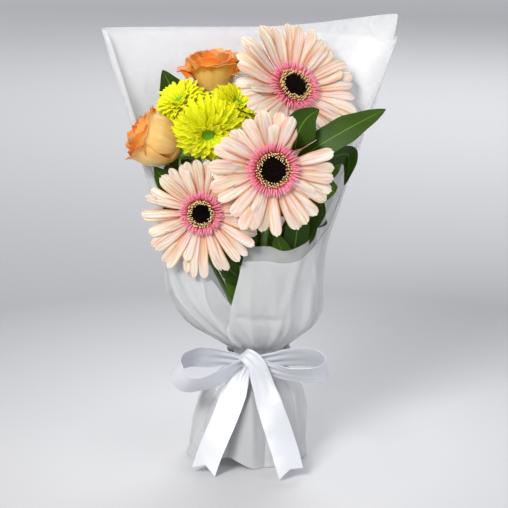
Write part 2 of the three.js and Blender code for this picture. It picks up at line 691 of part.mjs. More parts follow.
// A strip of ribbon whose middle follows a route. widths holds [share of the way, width, direction].
function ribbonStrip(points, turns, steps, notch) {
  const route = new THREE.CatmullRomCurve3(points, false, 'centripetal');
  const columns = notch ? 2 : 1;
  return blade(columns, steps, (u, v, face) => {
    const ahead = route.getTangentAt(v);
    const side = partWay(turns, v, (a, b, at) => a.direction.clone().lerp(b.direction, at).normalize());
    const width = partWay(turns, v, (a, b, at) => mix(a.width, b.width, at));
    const outward = ahead.clone().cross(side).normalize();
    const middle = notch && Math.abs(u - 0.5) < 0.1 && v > 0.99;
    const spot = route.getPointAt(middle ? 1 - notch / route.getLength() : v);
    spot.addScaledVector(side, (0.5 - u) * width);
    return spot.addScaledVector(outward, (face - 0.5) * RIBBON);
  });
}

const KNOT = vec(-3, -36, 99);

function ribbonBow() {
  const bandOffset = along(FLUTE_DEPTH, TIE_HEIGHT) + 2 * PAPER + SHEET_GAP + GAP + 0.4;
  const band = lathe([[1, -6], [2, -6], [2, 6], [1, 6], [1, -6]], 18);
  const spots = band.attributes.position;
  for (let i = 0; i < spots.count; i += 1) {
    const face = Math.hypot(spots.getX(i), spots.getY(i)) > 1.5 ? 1 : 0;
    const angle = (Math.atan2(-spots.getX(i), -spots.getY(i)) * 180) / Math.PI;
    const rising = THREE.MathUtils.smoothstep(angle, -175, -115);
    const wound = WRAP_OVERLAP * rising * (1 - THREE.MathUtils.smoothstep(angle, 38, 80));
    const radius = along(WRAP_HALF_WIDTH, TIE_HEIGHT) + bandOffset + wound + face * RIBBON;
    spots.setX(i, along(WRAP_MIDDLE_X, TIE_HEIGHT) - radius * Math.sin(rad(angle)));
    spots.setY(i, -radius * Math.cos(rad(angle)));
    spots.setZ(i, spots.getZ(i) + TIE_HEIGHT);
  }
  const knot = new THREE.SphereGeometry(1, 8, 6).scale(10.5, 7, 9.5).translate(KNOT.x, KNOT.y, KNOT.z);
  const turn = (x, y, z, width) => ({ direction: vec(x, y, z), width });
  const leftLoop = ribbonStrip(
    [KNOT, vec(-22, -37, 102), vec(-40, -40, 104.5), vec(-54, -44, 106), vec(-69, -52, 101), vec(-68, -59, 91),
      vec(-59, -63, 85.5), vec(-45, -61, 86), vec(-28, -53, 90.5), vec(-16, -45, 96), KNOT],
    [turn(0, -0.3, 0.95, 9), turn(0, -0.35, 0.93, 18), turn(0, -0.4, 0.92, 24),
      turn(0.2, -0.5, 0.84, RIBBON_WIDTH), turn(0.55, -0.66, 0.5, RIBBON_WIDTH),
      turn(0.35, -0.6, 0.7, RIBBON_WIDTH), turn(0.1, -0.6, 0.8, 24), turn(0, -0.5, 0.87, 18),
      turn(0, -0.3, 0.95, 9)],
    12,
  );
  const rightLoop = ribbonStrip(
    [KNOT, vec(16, -37, 101.5), vec(34, -39, 104.5), vec(52, -43, 106), vec(66, -49, 103.5), vec(70, -55, 99),
      vec(63, -60, 95), vec(50, -60, 93.5), vec(34, -56, 93.5), vec(17, -47, 96), KNOT],
    [turn(0, -0.3, 0.95, 9), turn(0, -0.4, 0.92, 16), turn(0, -0.45, 0.9, 22),
      turn(-0.05, -0.5, 0.87, RIBBON_WIDTH), turn(-0.15, -0.6, 0.8, RIBBON_WIDTH),
      turn(-0.1, -0.66, 0.75, RIBBON_WIDTH), turn(0, -0.7, 0.71, 23), turn(0, -0.5, 0.87, 17),
      turn(0, -0.3, 0.95, 9)],
    12,
  );
  const leftTail = ribbonStrip(
    [KNOT, vec(-12, -46, 84), vec(-24, -58, 50), vec(-39, -67, 20), vec(-45, -71, 3)],
    [turn(1, -0.1, 0.1, 12), turn(0.94, -0.2, 0.25, RIBBON_WIDTH), turn(0.9, -0.3, 0.1, RIBBON_WIDTH),
      turn(0.86, -0.47, -0.19, RIBBON_WIDTH)],
    4, 7,
  );
  const rightTail = ribbonStrip(
    [KNOT, vec(8, -47, 90), vec(18, -58, 60), vec(30, -72, 26), vec(37, -85, 3.5)],
    [turn(1, 0.1, 0, 14), turn(0.95, -0.1, 0.3, RIBBON_WIDTH), turn(0.93, 0.1, 0.3, RIBBON_WIDTH),
      turn(0.9, 0.38, 0.22, RIBBON_WIDTH)],
    4, 7,
  );
  const whole = [band, knot, leftLoop, rightLoop, leftTail, rightTail].map(toSolid);
  const ground = toSolid(new THREE.BoxGeometry(400, 400, 40).translate(0, 0, -20));
  return toGeometry(whole.reduce((body, piece) => body.add(piece)).subtract(ground));
}

// ---- the bouquet --------------------------------------------------------------------------------------

const bouquet = new THREE.Group();

function addNode(name, geometry, material, parent = bouquet) {
  const mesh = new THREE.Mesh(geometry, material);
  mesh.name = name;
  parent.add(mesh);
}

function addHead(position, facing) {
  const head = new THREE.Group();
  head.position.copy(position);
  head.quaternion.setFromUnitVectors(UP, facing.clone().normalize());
  bouquet.add(head);
  head.updateMatrixWorld(true);
  return head;
}

for (const flower of GERBERAS) {
  const head = addHead(flower.centre, flower.facing);
  addNode(`${flower.name}_rays`, rays(flower), RAY_PEACH, head);
  addNode(`${flower.name}_florets`, floretRing(flower), FLORET_PINK, head);
  addNode(`${flower.name}_stamens`, stamenRing(flower), STAMEN_YELLOW, head);
  addNode(`${flower.name}_eye`, darkEye(flower), EYE_DARK, head);
  addNode(`${flower.name}_stem`, gerberaStem(flower, head), STEM_GREEN);
}

for (const rose of ROSES) {
  const head = addHead(rose.base, rose.facing);
  addNode(`${rose.name}_bloom`, roseBloom(rose), ROSE_APRICOT, head);
  addNode(`${rose.name}_stem`, roseStem(rose, head), STEM_GREEN);
}

const mumHeads = MUMS.map((mum) => {
  const head = addHead(mum.centre, mum.facing);
  addNode(`${mum.name}_petals`, mumBloom(mum), MUM_YELLOW, head);
  addNode(`${mum.name}_eye`, mumEye(mum), MUM_GREEN, head);
  return head;
});
addNode('mum_stem', mumStem(mumHeads), STEM_GREEN);

for (const spray of LEAFY_STEMS) {
  addNode(spray.name, leafyStem(spray), LEAF_GREEN);
}

addNode('paper_inner', paperSheet(-6, INNER_EDGE, 0), PAPER_WHITE);
addNode('paper_outer', paperSheet(18, OUTER_EDGE, 1), PAPER_WHITE);
addNode('binding_twine', bindingTwine(), TWINE_TAN);
addNode('ribbon_bow', ribbonBow(), RIBBON_WHITE);

export default bouquet;
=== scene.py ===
"""A wrapped gerbera bouquet: three gerberas, two roses, a spray of chrysanthemums and leafy stems, bound
at the waist, wrapped in two sheets of frosted paper and tied with a satin bow.

Sizes are in millimetres until a piece is finished, and +Z is up, -Y is the front and +X is the right.
"""

import math
import random

import bmesh
import bpy
from mathutils import Matrix, Vector, noise


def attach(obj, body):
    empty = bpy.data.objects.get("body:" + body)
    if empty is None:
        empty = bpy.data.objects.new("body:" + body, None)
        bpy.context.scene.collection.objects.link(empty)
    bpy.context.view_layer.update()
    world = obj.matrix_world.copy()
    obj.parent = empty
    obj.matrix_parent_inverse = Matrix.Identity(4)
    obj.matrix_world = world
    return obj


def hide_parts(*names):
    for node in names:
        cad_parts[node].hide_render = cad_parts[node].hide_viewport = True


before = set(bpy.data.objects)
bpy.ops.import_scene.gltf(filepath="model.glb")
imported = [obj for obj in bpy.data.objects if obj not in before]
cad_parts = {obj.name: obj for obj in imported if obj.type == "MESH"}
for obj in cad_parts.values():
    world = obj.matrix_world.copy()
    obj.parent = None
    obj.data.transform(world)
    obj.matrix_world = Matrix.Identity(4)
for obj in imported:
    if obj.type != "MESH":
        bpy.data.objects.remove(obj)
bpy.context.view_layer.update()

MM = 0.001


# ---- Camera, light and floor --------------------------------------------------------------------------
# A long lens looks slightly down on the bouquet from the front. A large soft lamp stands to the front
# left and above, a weaker one fills from the right and a third lights it from behind. The floor is pale
# near the bouquet, like a plinth top, and grey a little way off. Further out it is painted lighter again,
# as painted light that makes up for the lamps' falloff on the far floor behind the bouquet.

AIM = Vector((2, 0, 194)) * MM
CAMERA_DISTANCE = 1.9
CAMERA_DROP = math.radians(14.4)
LENS = 143.2

camera_data = bpy.data.cameras.new("camera")
camera_data.lens = LENS
camera_data.sensor_width = 36
camera = bpy.data.objects.new("camera", camera_data)
camera.location = AIM + CAMERA_DISTANCE * Vector((0, -math.cos(CAMERA_DROP), math.sin(CAMERA_DROP)))
camera.rotation_euler = (math.pi / 2 - CAMERA_DROP, 0, 0)
bpy.context.scene.collection.objects.link(camera)
bpy.context.scene.camera = camera


def add_lamp(name, place, size, power, color):
    """Adds a round lamp that is aimed at the middle of the bouquet."""
    lamp_data = bpy.data.lights.new(name, "AREA")
    lamp_data.shape = "DISK"
    lamp_data.size = size
    lamp_data.energy = power
    lamp_data.color = color
    lamp = bpy.data.objects.new(name, lamp_data)
    lamp.location = place
    lamp.rotation_euler = (AIM - Vector(place)).to_track_quat("-Z", "Y").to_euler()
    bpy.context.scene.collection.objects.link(lamp)


add_lamp("key_lamp", (-1.1, -1.9, 1.8), 1.0, 60, (1.0, 0.985, 0.96))
add_lamp("fill_lamp", (1.9, -1.2, 1.0), 1.8, 12, (0.94, 0.96, 1.0))
add_lamp("back_lamp", (0.4, 1.9, 1.6), 1.4, 30, (0.97, 0.98, 1.0))

world = bpy.data.worlds.new("studio")
world.use_nodes = True
sky = world.node_tree.nodes["Background"].inputs
sky["Color"].default_value = (0.83, 0.85, 0.9, 1)
sky["Strength"].default_value = 0.5
bpy.context.scene.world = world
bpy.context.scene.view_settings.view_transform = "Standard"


def start_material(name):
    """A new material and its node tree."""
    material = bpy.data.materials.new(name)
    material.use_nodes = True
    return material, material.node_tree


def feed(tree, node, inputs):
    """Gives a node its inputs. Another node's output is linked, and a value or a colour is set."""
    for key, given in inputs.items():
        socket = node.inputs[key]
        if isinstance(given, bpy.types.NodeSocket):
            tree.links.new(given, socket)
        elif socket.type == "RGBA":
            socket.default_value = (*given, 1)
        else:
            socket.default_value = given


def feed_shader(tree, inputs):
    """Gives the material's own shader its inputs."""
    feed(tree, tree.nodes["Principled BSDF"], inputs)


def add_node(tree, kind, output, inputs, **settings):
    """Adds a shader node and returns one of its outputs."""
    made = tree.nodes.new(kind)
    for key, value in settings.items():
        setattr(made, key, value)
    feed(tree, made, inputs)
    return made.outputs[output]


def add_spot(tree, output="Object"):
    """The place that is drawn, on the bouquet in metres or, with "UV", on its own sheet from 0 to 1."""
    return add_node(tree, "ShaderNodeTexCoord", output, {})


def add_math(tree, operation, *values):
    return add_node(tree, "ShaderNodeMath", "Value", dict(enumerate(values)), operation=operation)


def add_range(tree, value, low, high, to_low=0, to_high=1, clamp=True):
    """Maps a value from the range low to high onto another range."""
    return add_node(tree, "ShaderNodeMapRange", "Result", {
        "Value": value, "From Min": low, "From Max": high, "To Min": to_low, "To Max": to_high,
    }, clamp=clamp)


def add_ramp(tree, share, stops):
    """Adds a Color Ramp with (place, colour) stops."""
    ramp = tree.nodes.new("ShaderNodeValToRGB")
    points = ramp.color_ramp.elements
    while len(points) < len(stops):
        points.new(0.5)
    for point, (place, color) in zip(points, stops):
        point.position = place
        point.color = (*color, 1)
    tree.links.new(share, ramp.inputs["Fac"])
    return ramp.outputs["Color"]


FLOOR_RADIUS = 9
FLOOR_FADE = 3.6          # where the floor's shades end, in metres from the bouquet

floor_mesh = bmesh.new()
bmesh.ops.create_circle(floor_mesh, cap_ends=True, segments=96, radius=FLOOR_RADIUS)
floor_data = bpy.data.meshes.new("floor")
floor_mesh.to_mesh(floor_data)
floor_mesh.free()
floor = bpy.data.objects.new("floor", floor_data)
bpy.context.scene.collection.objects.link(floor)
floor_paint, tree = start_material("floor_paint")
far = add_node(tree, "ShaderNodeVectorMath", "Value", {0: add_spot(tree)}, operation="LENGTH")
feed_shader(tree, {
    # pale near the bouquet, grey a little way off; the rise to near white far out is painted light against
    # the lamps' falloff
    "Base Color": add_ramp(tree, add_range(tree, far, 0, FLOOR_FADE), [
        (0.0, (0.62, 0.62, 0.63)), (0.05, (0.61, 0.61, 0.62)), (0.16, (0.368, 0.370, 0.378)),
        (0.5, (0.58, 0.582, 0.59)), (1.0, (0.95, 0.95, 0.96)),
    ]),
    "Roughness": 0.7,
})
floor_data.materials.append(floor_paint)


# ---- Paper wrap ---------------------------------------------------------------------------------------
# Two sheets of frosted white florist's paper lie one in the other. They are rolled round the stems,
# gathered at the waist, and spread into a skirt below and a tall open cone above, right flap over left.

TIE_HEIGHT = 96
PAPER = 0.9               # room that a sheet takes outwards from the axis
PAPER_VISIBLE = 0.28      # the thickness it is drawn with
WRAP_OVERLAP = 3.2        # how far the sheets wind outwards over their first edges, at the tie
WINDING_ABOVE = 2.4       # and above it
SHEET_GAP = 0.5           # between the two sheets at the tie
SHEET_GAP_ABOVE = 0.9     # and above it
FLAP_SLANT_FROM = 330     # the right flap narrows from this angle to its end
FLAP_END = 390
FLAP_EDGE = [(96, 390), (114, 385), (130, 381.5), (142, 373.7), (174, 364.7), (200, 359.5)]
WRAP_HALF_WIDTH = [
    (0, 54), (30, 51), (62, 43), (78, 31), (88, 21.8), (96, 21), (104, 21.8),
    (114, 36), (130, 58), (145, 66.5), (160, 71), (198, 74.5), (244, 86), (290, 100.5), (333, 116.5),
    (350, 123), (410, 145),
]
WRAP_FRONT = [
    (0, 50), (30, 48), (62, 42), (78, 30), (88, 21.8), (96, 21), (104, 21.8),
    (114, 28), (130, 35), (160, 39), (198, 35), (244, 26), (290, 20), (350, 17), (410, 15),
]
WRAP_BACK = [
    (0, 48), (30, 46), (62, 41), (78, 30), (88, 21.8), (96, 21), (104, 21.8),
    (114, 28), (130, 36), (160, 45), (198, 52), (244, 54), (290, 49), (333, 37), (350, 31), (410, 13),
]
WRAP_MIDDLE_X = [
    (0, -6), (62, -1), (96, 5), (130, -1), (160, -7.5), (198, -8.5), (244, -5.5), (290, -4), (333, -2.5),
    (350, -2), (410, 0),
]
WRAP_MIDDLE_Y = [(0, -2), (96, 0), (198, 0), (244, 6), (290, 20), (333, 38), (350, 47), (410, 77)]
PLEAT_COUNT = 5           # in each half turn
FIRST_PLEAT = 18
PLEAT_DEPTH = [(0, 2.6), (62, 3.2), (96, 3.4), (104, 2.6), (122, 0.8), (145, 0.3), (165, 0)]
INNER_EDGE = [
    (-6, 138), (10, 156), (23, 178), (50, 210), (66, 242), (78, 391), (90, 392),
    (180, 392), (265, 386), (282, 391), (294, 246), (313, 211), (330, 205), (357, 210), (390, 210),
]
OUTER_EDGE = [
    (18, 180), (30, 194), (52, 217), (66, 248), (78, 395), (90, 397),
    (180, 396), (252, 409), (264, 350), (276, 288), (290, 222), (327, 194), (361, 197), (390, 197),
]
HEM_LIFT = 9              # the hem rises this far in front
HEM_LIFT_AT = 18
HEM_LIFT_REACH = 30
LEFT_EDGE = [(125, 18), (133, 20.6), (144, 26), (180, 30)]     # the outer sheet's first edge, by height
LEFT_EDGE_REACH = 40
WRAP_CREASES = [
    # angle at the tie, drift in degrees for each millimetre from it, half width, height of the ridge, reach
    (15, 0.43, 6, 2.2, 170), (28, 0.5, 5, 1.4, 190), (344, -0.27, 6, 1.9, 170), (2, -0.1, 5, 1.2, 120),
]
SMALL_CREASE_COUNT = 34
crumple = random.Random(17)
for _ in range(SMALL_CREASE_COUNT):
    WRAP_CREASES.append((
        crumple.uniform(0, 360), crumple.uniform(-0.3, 0.3), crumple.uniform(4, 9), crumple.uniform(0.6, 2.2),
        crumple.uniform(36, 130),
    ))
FRONT_CREASE = (143, 5, 1.6)     # height, half width and depth


def blend(low, high, share):
    """Goes from low to high with a share from 0 to 1."""
    return low + (high - low) * share


def ease(value, low, high):
    """Rises smoothly from 0 at low to 1 at high."""
    share = min(max((value - low) / (high - low), 0), 1)
    return share * share * (3 - 2 * share)


def along(pairs, at):
    """Reads a smooth curve through (place, value) pairs."""
    if at <= pairs[0][0]:
        return pairs[0][1]
    if at >= pairs[-1][0]:
        return pairs[-1][1]
    i = 0
    while pairs[i + 1][0] < at:
        i += 1

    def slope(a, b):
        return (b[1] - a[1]) / (b[0] - a[0])

    here = slope(pairs[i], pairs[i + 1])
    before = slope(pairs[i - 1], pairs[i]) if i > 0 else here
    after = slope(pairs[i + 1], pairs[i + 2]) if i + 2 < len(pairs) else here
    width = pairs[i + 1][0] - pairs[i][0]
    start = 2 * before * here / (before + here) * width if before * here > 0 else 0
    end = 2 * here * after / (here + after) * width if here * after > 0 else 0
    t = (at - pairs[i][0]) / width
    rise = pairs[i + 1][1] - pairs[i][1]
    return pairs[i][1] + start * t + (3 * rise - 2 * start - end) * t * t + (start + end - 2 * rise) * t**3


def pleat(angle, height):
    """Sharp creases inwards with full folds between them, strongest at the tie."""
    fold = abs(math.sin(math.radians(PLEAT_COUNT * (angle - FIRST_PLEAT)))) ** 0.7
    uneven = 1 + 0.22 * math.sin(math.radians(3 * angle + 40))
    return along(PLEAT_DEPTH, height) * (1.5 * fold - 1) * uneven


def crease(angle, height):
    """Ridges in which the paper buckles where it is drawn in to the tie, and one dent across the flap."""
    far = abs(height - TIE_HEIGHT)
    rise = 0
    for at, drift, half, tall, reach in WRAP_CREASES:
        near = ease(far, 7, 22) * (1 - ease(far, reach * 0.35, reach))
        off = abs((angle - at - drift * far + 180) % 360 - 180) / half
        if near > 0 and off < 1:
            rise += tall * near * (1 - off)
    middle, half, deep = FRONT_CREASE
    level = middle + 3 * math.sin(math.radians(angle * 4))
    dent = max(1 - abs(height - level) / half, 0) * ease(math.cos(math.radians(angle + 8)), 0.9, 0.98)
    return rise - deep * dent


def wrap_point(angle, height, outwards):
    """A point of the wrap. The angle counts from the front (0) over the left (90) to the back (180)."""
    turn = math.radians(angle)
    half_width = along(WRAP_HALF_WIDTH, height)
    depth = along(WRAP_FRONT if math.cos(turn) > 0 else WRAP_BACK, height)
    outward = Vector((-depth * math.sin(turn), -half_width * math.cos(turn), 0)).normalized()
    base = Vector((
        along(WRAP_MIDDLE_X, height) - half_width * math.sin(turn),
        along(WRAP_MIDDLE_Y, height) - depth * math.cos(turn),
        height,
    ))
    return base + outward * (pleat(angle, height) + crease(angle, height) + outwards)


def flap_slant(angle, height):
    """Draws the free edge of the right flap in towards its upper corner."""
    if angle <= FLAP_SLANT_FROM:
        return angle
    share = (angle - FLAP_SLANT_FROM) / (FLAP_END - FLAP_SLANT_FROM)
    return blend(FLAP_SLANT_FROM, along(FLAP_EDGE, height), share)


def hem_height(angle):
    """How high the hem is off the ground: a little uneven, and lifted near the front."""
    wrapped = (angle + 180) % 360 - 180
    off = abs(wrapped - HEM_LIFT_AT) / HEM_LIFT_REACH
    lift = HEM_LIFT * math.cos(off * math.pi / 2) ** 2 if off < 1 else 0
    return lift + 0.7 + 0.7 * math.sin(math.radians(angle * 7)) * math.sin(math.radians(angle * 3 + 50))


def paper_point(angle, height, layer):
    """A point of the inner sheet (layer 0) or of the outer one (1), which winds outwards and is crumpled."""
    above = ease(height, 104, 145)
    spacing = PAPER + blend(SHEET_GAP, SHEET_GAP_ABOVE, above)
    wound = blend(WRAP_OVERLAP, WINDING_ABOVE, above) * ease(angle, 190, 320)
    slanted = flap_slant(angle, height)
    turn = math.radians(slanted)
    spread = Vector((math.cos(turn) * 1.2, math.sin(turn) * 1.2, height / 70))
    crumpled = ease(height, 112, 150) * 1.1 * noise.noise(spread * 1.6 + Vector((0, 0, 5)))
    return wrap_point(slanted, height, layer * spacing + wound + PAPER / 2 + crumpled)


def tone_layer(bm):
    """The layer in which every corner keeps its own tone, which a material can read."""
    return bm.verts.layers.float.get("tone") or bm.verts.layers.float.new("tone")


def add_sheet(bm, columns, rows, place, tone=0.5):
    """Adds a grid to a mesh. place(u, v) puts each corner, and tone is kept on it for the material."""
    uv = bm.loops.layers.uv.get("UVMap") or bm.loops.layers.uv.new("UVMap")
    tones = tone_layer(bm)
    made = bmesh.ops.create_grid(bm, x_segments=columns, y_segments=rows, size=0.5)["verts"]
    spots = {vert: (vert.co.x + 0.5, vert.co.y + 0.5) for vert in made}
    for face in {face for vert in made for face in vert.link_faces}:
        for loop in face.loops:
            loop[uv].uv = spots[loop.vert]
    for vert, (u, v) in spots.items():
        vert.co = place(u, v)
        vert[tones] = tone
    return made


SHARP_FROM = math.radians(55)


def make_piece(name, bm, material, wall=0, head=None):
    """Turns a mesh in millimetres into a piece that rides on the bouquet, smooth but for its rims. A head's
    matrix first puts it in its place, and a wall gives all its sheets a thickness."""
    if head is not None:
        bmesh.ops.transform(bm, matrix=head, verts=bm.verts)
    bmesh.ops.scale(bm, vec=(MM, MM, MM), verts=bm.verts)
    for edge in bm.edges:
        edge.smooth = not edge.is_boundary and edge.calc_face_angle(0) < SHARP_FROM
    data = bpy.data.meshes.new(name)
    bm.to_mesh(data)
    bm.free()
    data.materials.append(material)
    data.shade_smooth()
    piece = bpy.data.objects.new(name, data)
    bpy.context.scene.collection.objects.link(piece)
    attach(piece, "root")
    if wall:
        thick = piece.modifiers.new("thickness", "SOLIDIFY")
        thick.thickness = wall * MM
        thick.offset = 0
    return piece


def add_noise(tree, vector, scale, detail=2, distortion=0):
    return add_node(tree, "ShaderNodeTexNoise", "Fac", {
        "Vector": vector, "Scale": scale, "Detail": detail, "Distortion": distortion,
    })


def add_bump(tree, height, strength, distance, invert=False):
    return add_node(tree, "ShaderNodeBump", "Normal", {
        "Height": height, "Strength": strength, "Distance": distance,
    }, invert=invert)


def mottle_group():
    """Makes a colour lighter and darker in soft patches."""
    group = bpy.data.node_groups.new("mottle", "ShaderNodeTree")
    for label, kind in (("Color", "NodeSocketColor"), ("Vector", "NodeSocketVector"),
                        ("Scale", "NodeSocketFloat"), ("Amount", "NodeSocketFloat")):
        group.interface.new_socket(label, in_out="INPUT", socket_type=kind)
    group.interface.new_socket("Color", in_out="OUTPUT", socket_type="NodeSocketColor")
    given = group.nodes.new("NodeGroupInput").outputs
    clouds = add_noise(group, given["Vector"], given["Scale"], 3)
    value = add_math(group, "MULTIPLY_ADD", add_math(group, "SUBTRACT", clouds, 0.5), given["Amount"], 1.0)
    tint = add_node(group, "ShaderNodeHueSaturation", "Color", {"Color": given["Color"], "Value": value})
    feed(group, group.nodes.new("NodeGroupOutput"), {"Color": tint})
    return group


MOTTLE = mottle_group()


def add_mottle(tree, color, scale, amount):
    """Places the mottle group between a colour and what uses it."""
    return add_node(tree, "ShaderNodeGroup", "Color", {
        "Color": color, "Vector": add_spot(tree), "Scale": scale, "Amount": amount,
    }, node_tree=MOTTLE)


wrap_paper, tree = start_material("wrap_paper")
grain = add_noise(tree, add_spot(tree), 2400, 4)
crinkle = add_noise(tree, add_spot(tree), 42, 2.5, 1.4)
feed_shader(tree, {
    "Base Color": add_mottle(tree, (0.905, 0.91, 0.935), 60, 0.06),
    "Normal": add_bump(tree, add_math(tree, "MULTIPLY_ADD", grain, 0.01, crinkle), 0.3, 0.004),
    "Alpha": add_range(tree, grain, 0.35, 0.65, 0.35, 0.38),
    "Roughness": 0.38,
    "Subsurface Weight": 0.7,
    "Subsurface Radius": (1, 1, 1),
    "Subsurface Scale": 0.002,
})

PAPER_COLUMN = 1.5        # degrees in each column of faces
PAPER_ROWS = 96
for node_name, first_angle, edge, layer in (
    ("paper_inner", -6, INNER_EDGE, 0),
    ("paper_outer", 18, OUTER_EDGE, 1),
):
    def place(u, v):
        angle = blend(first_angle, FLAP_END, u)
        height = blend(hem_height(angle), along(edge, angle), v)
        if layer == 1:
            share = 1 - min((angle - first_angle) / LEFT_EDGE_REACH, 1)
            angle += (along(LEFT_EDGE, height) - first_angle) * share
        return paper_point(angle, height, layer)

    bm = bmesh.new()
    add_sheet(bm, int((FLAP_END - first_angle) / PAPER_COLUMN), PAPER_ROWS, place)
    sheet = make_piece(f"wrap_{node_name}", bm, wrap_paper, PAPER_VISIBLE)
    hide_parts(node_name)


# ---- Stems at the tie ---------------------------------------------------------------------------------
# Every stem runs from its cut end on the ground through its own place in the bound bundle, where the
# stems stand upright and side by side, and then fans out to its flower or leaves.

INNER_RING = 7.6
OUTER_RING = 12
FOOT_SPREAD = 2.2         # how many times wider the cut ends stand than the bound bundle
FOOT_X = -3
BOUND_HALF = 7


def bundle_place(ring, angle, height):
    """A stem's place in the bundle, from the ground to the top of the tie."""
    share = min(height / (TIE_HEIGHT - BOUND_HALF), 1)
    spread = blend(FOOT_SPREAD, 1, share)
    turn = math.radians(angle)
    middle_x = blend(FOOT_X, along(WRAP_MIDDLE_X, TIE_HEIGHT), share)
    return Vector((middle_x + ring * spread * math.cos(turn), ring * spread * math.sin(turn), height))


def stem_route(ring, angle, above):
    """A stem's way up through the bundle, and then through the spots above it."""
    heights = (0, TIE_HEIGHT / 2, TIE_HEIGHT - BOUND_HALF, TIE_HEIGHT + BOUND_HALF)
    return [bundle_place(ring, angle, height) for height in heights] + [Vector(spot) for spot in above]


def smooth_route(points, steps):
    """Points on a smooth curve through the given ones."""
    knots = [0]
    for here, there in zip(points, points[1:]):
        knots.append(knots[-1] + (there - here).length)
    last = len(points) - 1
    slopes = []
    for i in range(last + 1):
        low, high = max(i - 1, 0), min(i + 1, last)
        slopes.append((points[high] - points[low]) / (knots[high] - knots[low]))
    route = []
    for i in range(last):
        reach = knots[i + 1] - knots[i]
        for k in range(steps + (i + 1 == last)):
            t = k / steps
            route.append(
                points[i] * (1 + 2 * t) * (1 - t) ** 2 + slopes[i] * reach * t * (1 - t) ** 2
                + points[i + 1] * t * t * (3 - 2 * t) + slopes[i + 1] * reach * t * t * (t - 1)
            )
    return route


def add_tube(bm, points, radius_at, sides=10, steps=6):
    """Adds a closed tube along a smooth route. radius_at(share) is its radius at a share of its length."""
    route = smooth_route(points, steps)
    ahead = (route[1] - route[0]).normalized()
    side = ahead.orthogonal().normalized()
    rings = []
    for i, spot in enumerate(route):
        low, high = max(i - 1, 0), min(i + 1, len(route) - 1)
        turned = (route[high] - route[low]).normalized()
        side = ahead.rotation_difference(turned) @ side
        ahead = turned
        rings.append((spot, side.copy(), ahead.cross(side)))

    def place(u, v):
        spot, across, over = rings[round(v * (len(rings) - 1))]
        turn = u * math.tau
        return spot + (across * math.cos(turn) + over * math.sin(turn)) * radius_at(v)

    made = add_sheet(bm, sides, len(rings) - 1, place)
    bmesh.ops.remove_doubles(bm, verts=made, dist=0.01)
    made = [vert for vert in made if vert.is_valid]
    rim = {edge for vert in made for edge in vert.link_edges if edge.is_boundary}
    bmesh.ops.holes_fill(bm, edges=list(rim), sides=sides + 1)
    return [vert for vert in made if vert.is_valid]


def cut_flat(bm):
    """Cuts a stem's foot flat on the ground, closes it and turns all its faces outwards."""
    cut = bmesh.ops.bisect_plane(
        bm, geom=bm.verts[:] + bm.edges[:] + bm.faces[:], plane_co=(0, 0, 0.05), plane_no=(0, 0, 1),
        clear_inner=True,
    )
    rim = [part for part in cut["geom_cut"] if isinstance(part, bmesh.types.BMEdge)]
    bmesh.ops.holes_fill(bm, edges=rim, sides=32)
    bmesh.ops.recalc_face_normals(bm, faces=bm.faces)


stem_skin, tree = start_material("stem_skin")
ribs = add_node(tree, "ShaderNodeMapping", "Vector", {"Vector": add_spot(tree), "Scale": (700, 700, 60)})
feed_shader(tree, {
    "Base Color": add_mottle(tree, (0.17, 0.32, 0.075), 90, 0.5),
    "Normal": add_bump(tree, add_noise(tree, ribs, 1), 0.35, 0.0005),
    "Roughness": 0.5,
    "Subsurface Weight": 0.1,
    "Subsurface Scale": 0.002,
})


# ---- Gerberas -----------------------------------------------------------------------------------------
# Each head has a cup of green bracts, two layers of long peach rays, rows of narrow pink florets, a ring
# of yellow stamens and a dark eye of tight unopened florets. Its thick stem bends in behind the head.

PETAL = 0.45
FLORET = 0.3
BRACT = 0.5
HUB_DEPTH = 3.6
RAY_WIDTHS = 166          # all the rays of a layer side by side, on a head with a reach of USUAL_REACH
USUAL_REACH = 57
SHORT_RAY_COUNT = 6       # they lie over the two layers
UPPER_RAYS_DROP = 0.9
RAY_LAYER_GAP = 1.7
EDGE_ON_TONE = -1.3       # darker than any other, since such a ray turns away from the light
GERBERAS = [
    # rays: in each layer; reach, eye, stamens, florets: radii of the rays' tips and of the three rings;
    # longer: how much longer the rays are towards the angle longest; cup: how far the rays rise;
    # bare: between these angles rays are missing; edge_on: (angle, reach, twist) of rays turned on edge;
    # ring, angle: the stem's place in the bundle; route: the stem from there on
    {
        "name": "gerbera_front", "centre": (19, -50, 285.6), "facing": (0.15, -0.98, 0.1), "seed": 3,
        "rays": 14, "reach": 57.5, "longer": 0.05, "longest": 275, "cup": 4, "eye": 11, "stamens": 15.5,
        "florets": 25, "bare": (31, 76), "edge_on": ((43, 48, 78), (64, 42, -74)),
        "ring": INNER_RING, "angle": -75, "route": [(9, -12, 140), (11, -18, 200), (15, -27, 255)],
    },
    {
        "name": "gerbera_low", "centre": (-46, -37, 242), "facing": (-0.18, -0.975, 0.08), "seed": 5,
        "rays": 17, "reach": 54.5, "longer": 0.1, "longest": 245, "cup": 4, "eye": 8.5, "stamens": 12,
        "florets": 20.5, "bare": (0, 0), "edge_on": (), "ring": INNER_RING, "angle": -135,
        "route": [(-8, -10, 135), (-24, -14, 185), (-36, -18, 220)],
    },
    {
        "name": "gerbera_high", "centre": (39, 18, 350), "facing": (0.42, -0.68, 0.6), "seed": 8,
        "rays": 15, "reach": 64, "longer": 0.03, "longest": 180, "cup": 11, "eye": 11, "stamens": 15.5,
        "florets": 25.5, "bare": (0, 0), "edge_on": (), "ring": INNER_RING, "angle": -15,
        "route": [(18, -1, 150), (24, 6, 230), (31, 20, 300), (34, 26, 335)],
    },
]


def head_matrix(centre, facing):
    """Stands a head that was made round the Z axis in its place in the bouquet."""
    turn = Vector((0, 0, 1)).rotation_difference(Vector(facing).normalized())
    return Matrix.Translation(Vector(centre)) @ turn.to_matrix().to_4x4()


def upright(*heights):
    """Points on the Z axis, for a tube below or inside a head."""
    return [Vector((0, 0, height)) for height in heights]


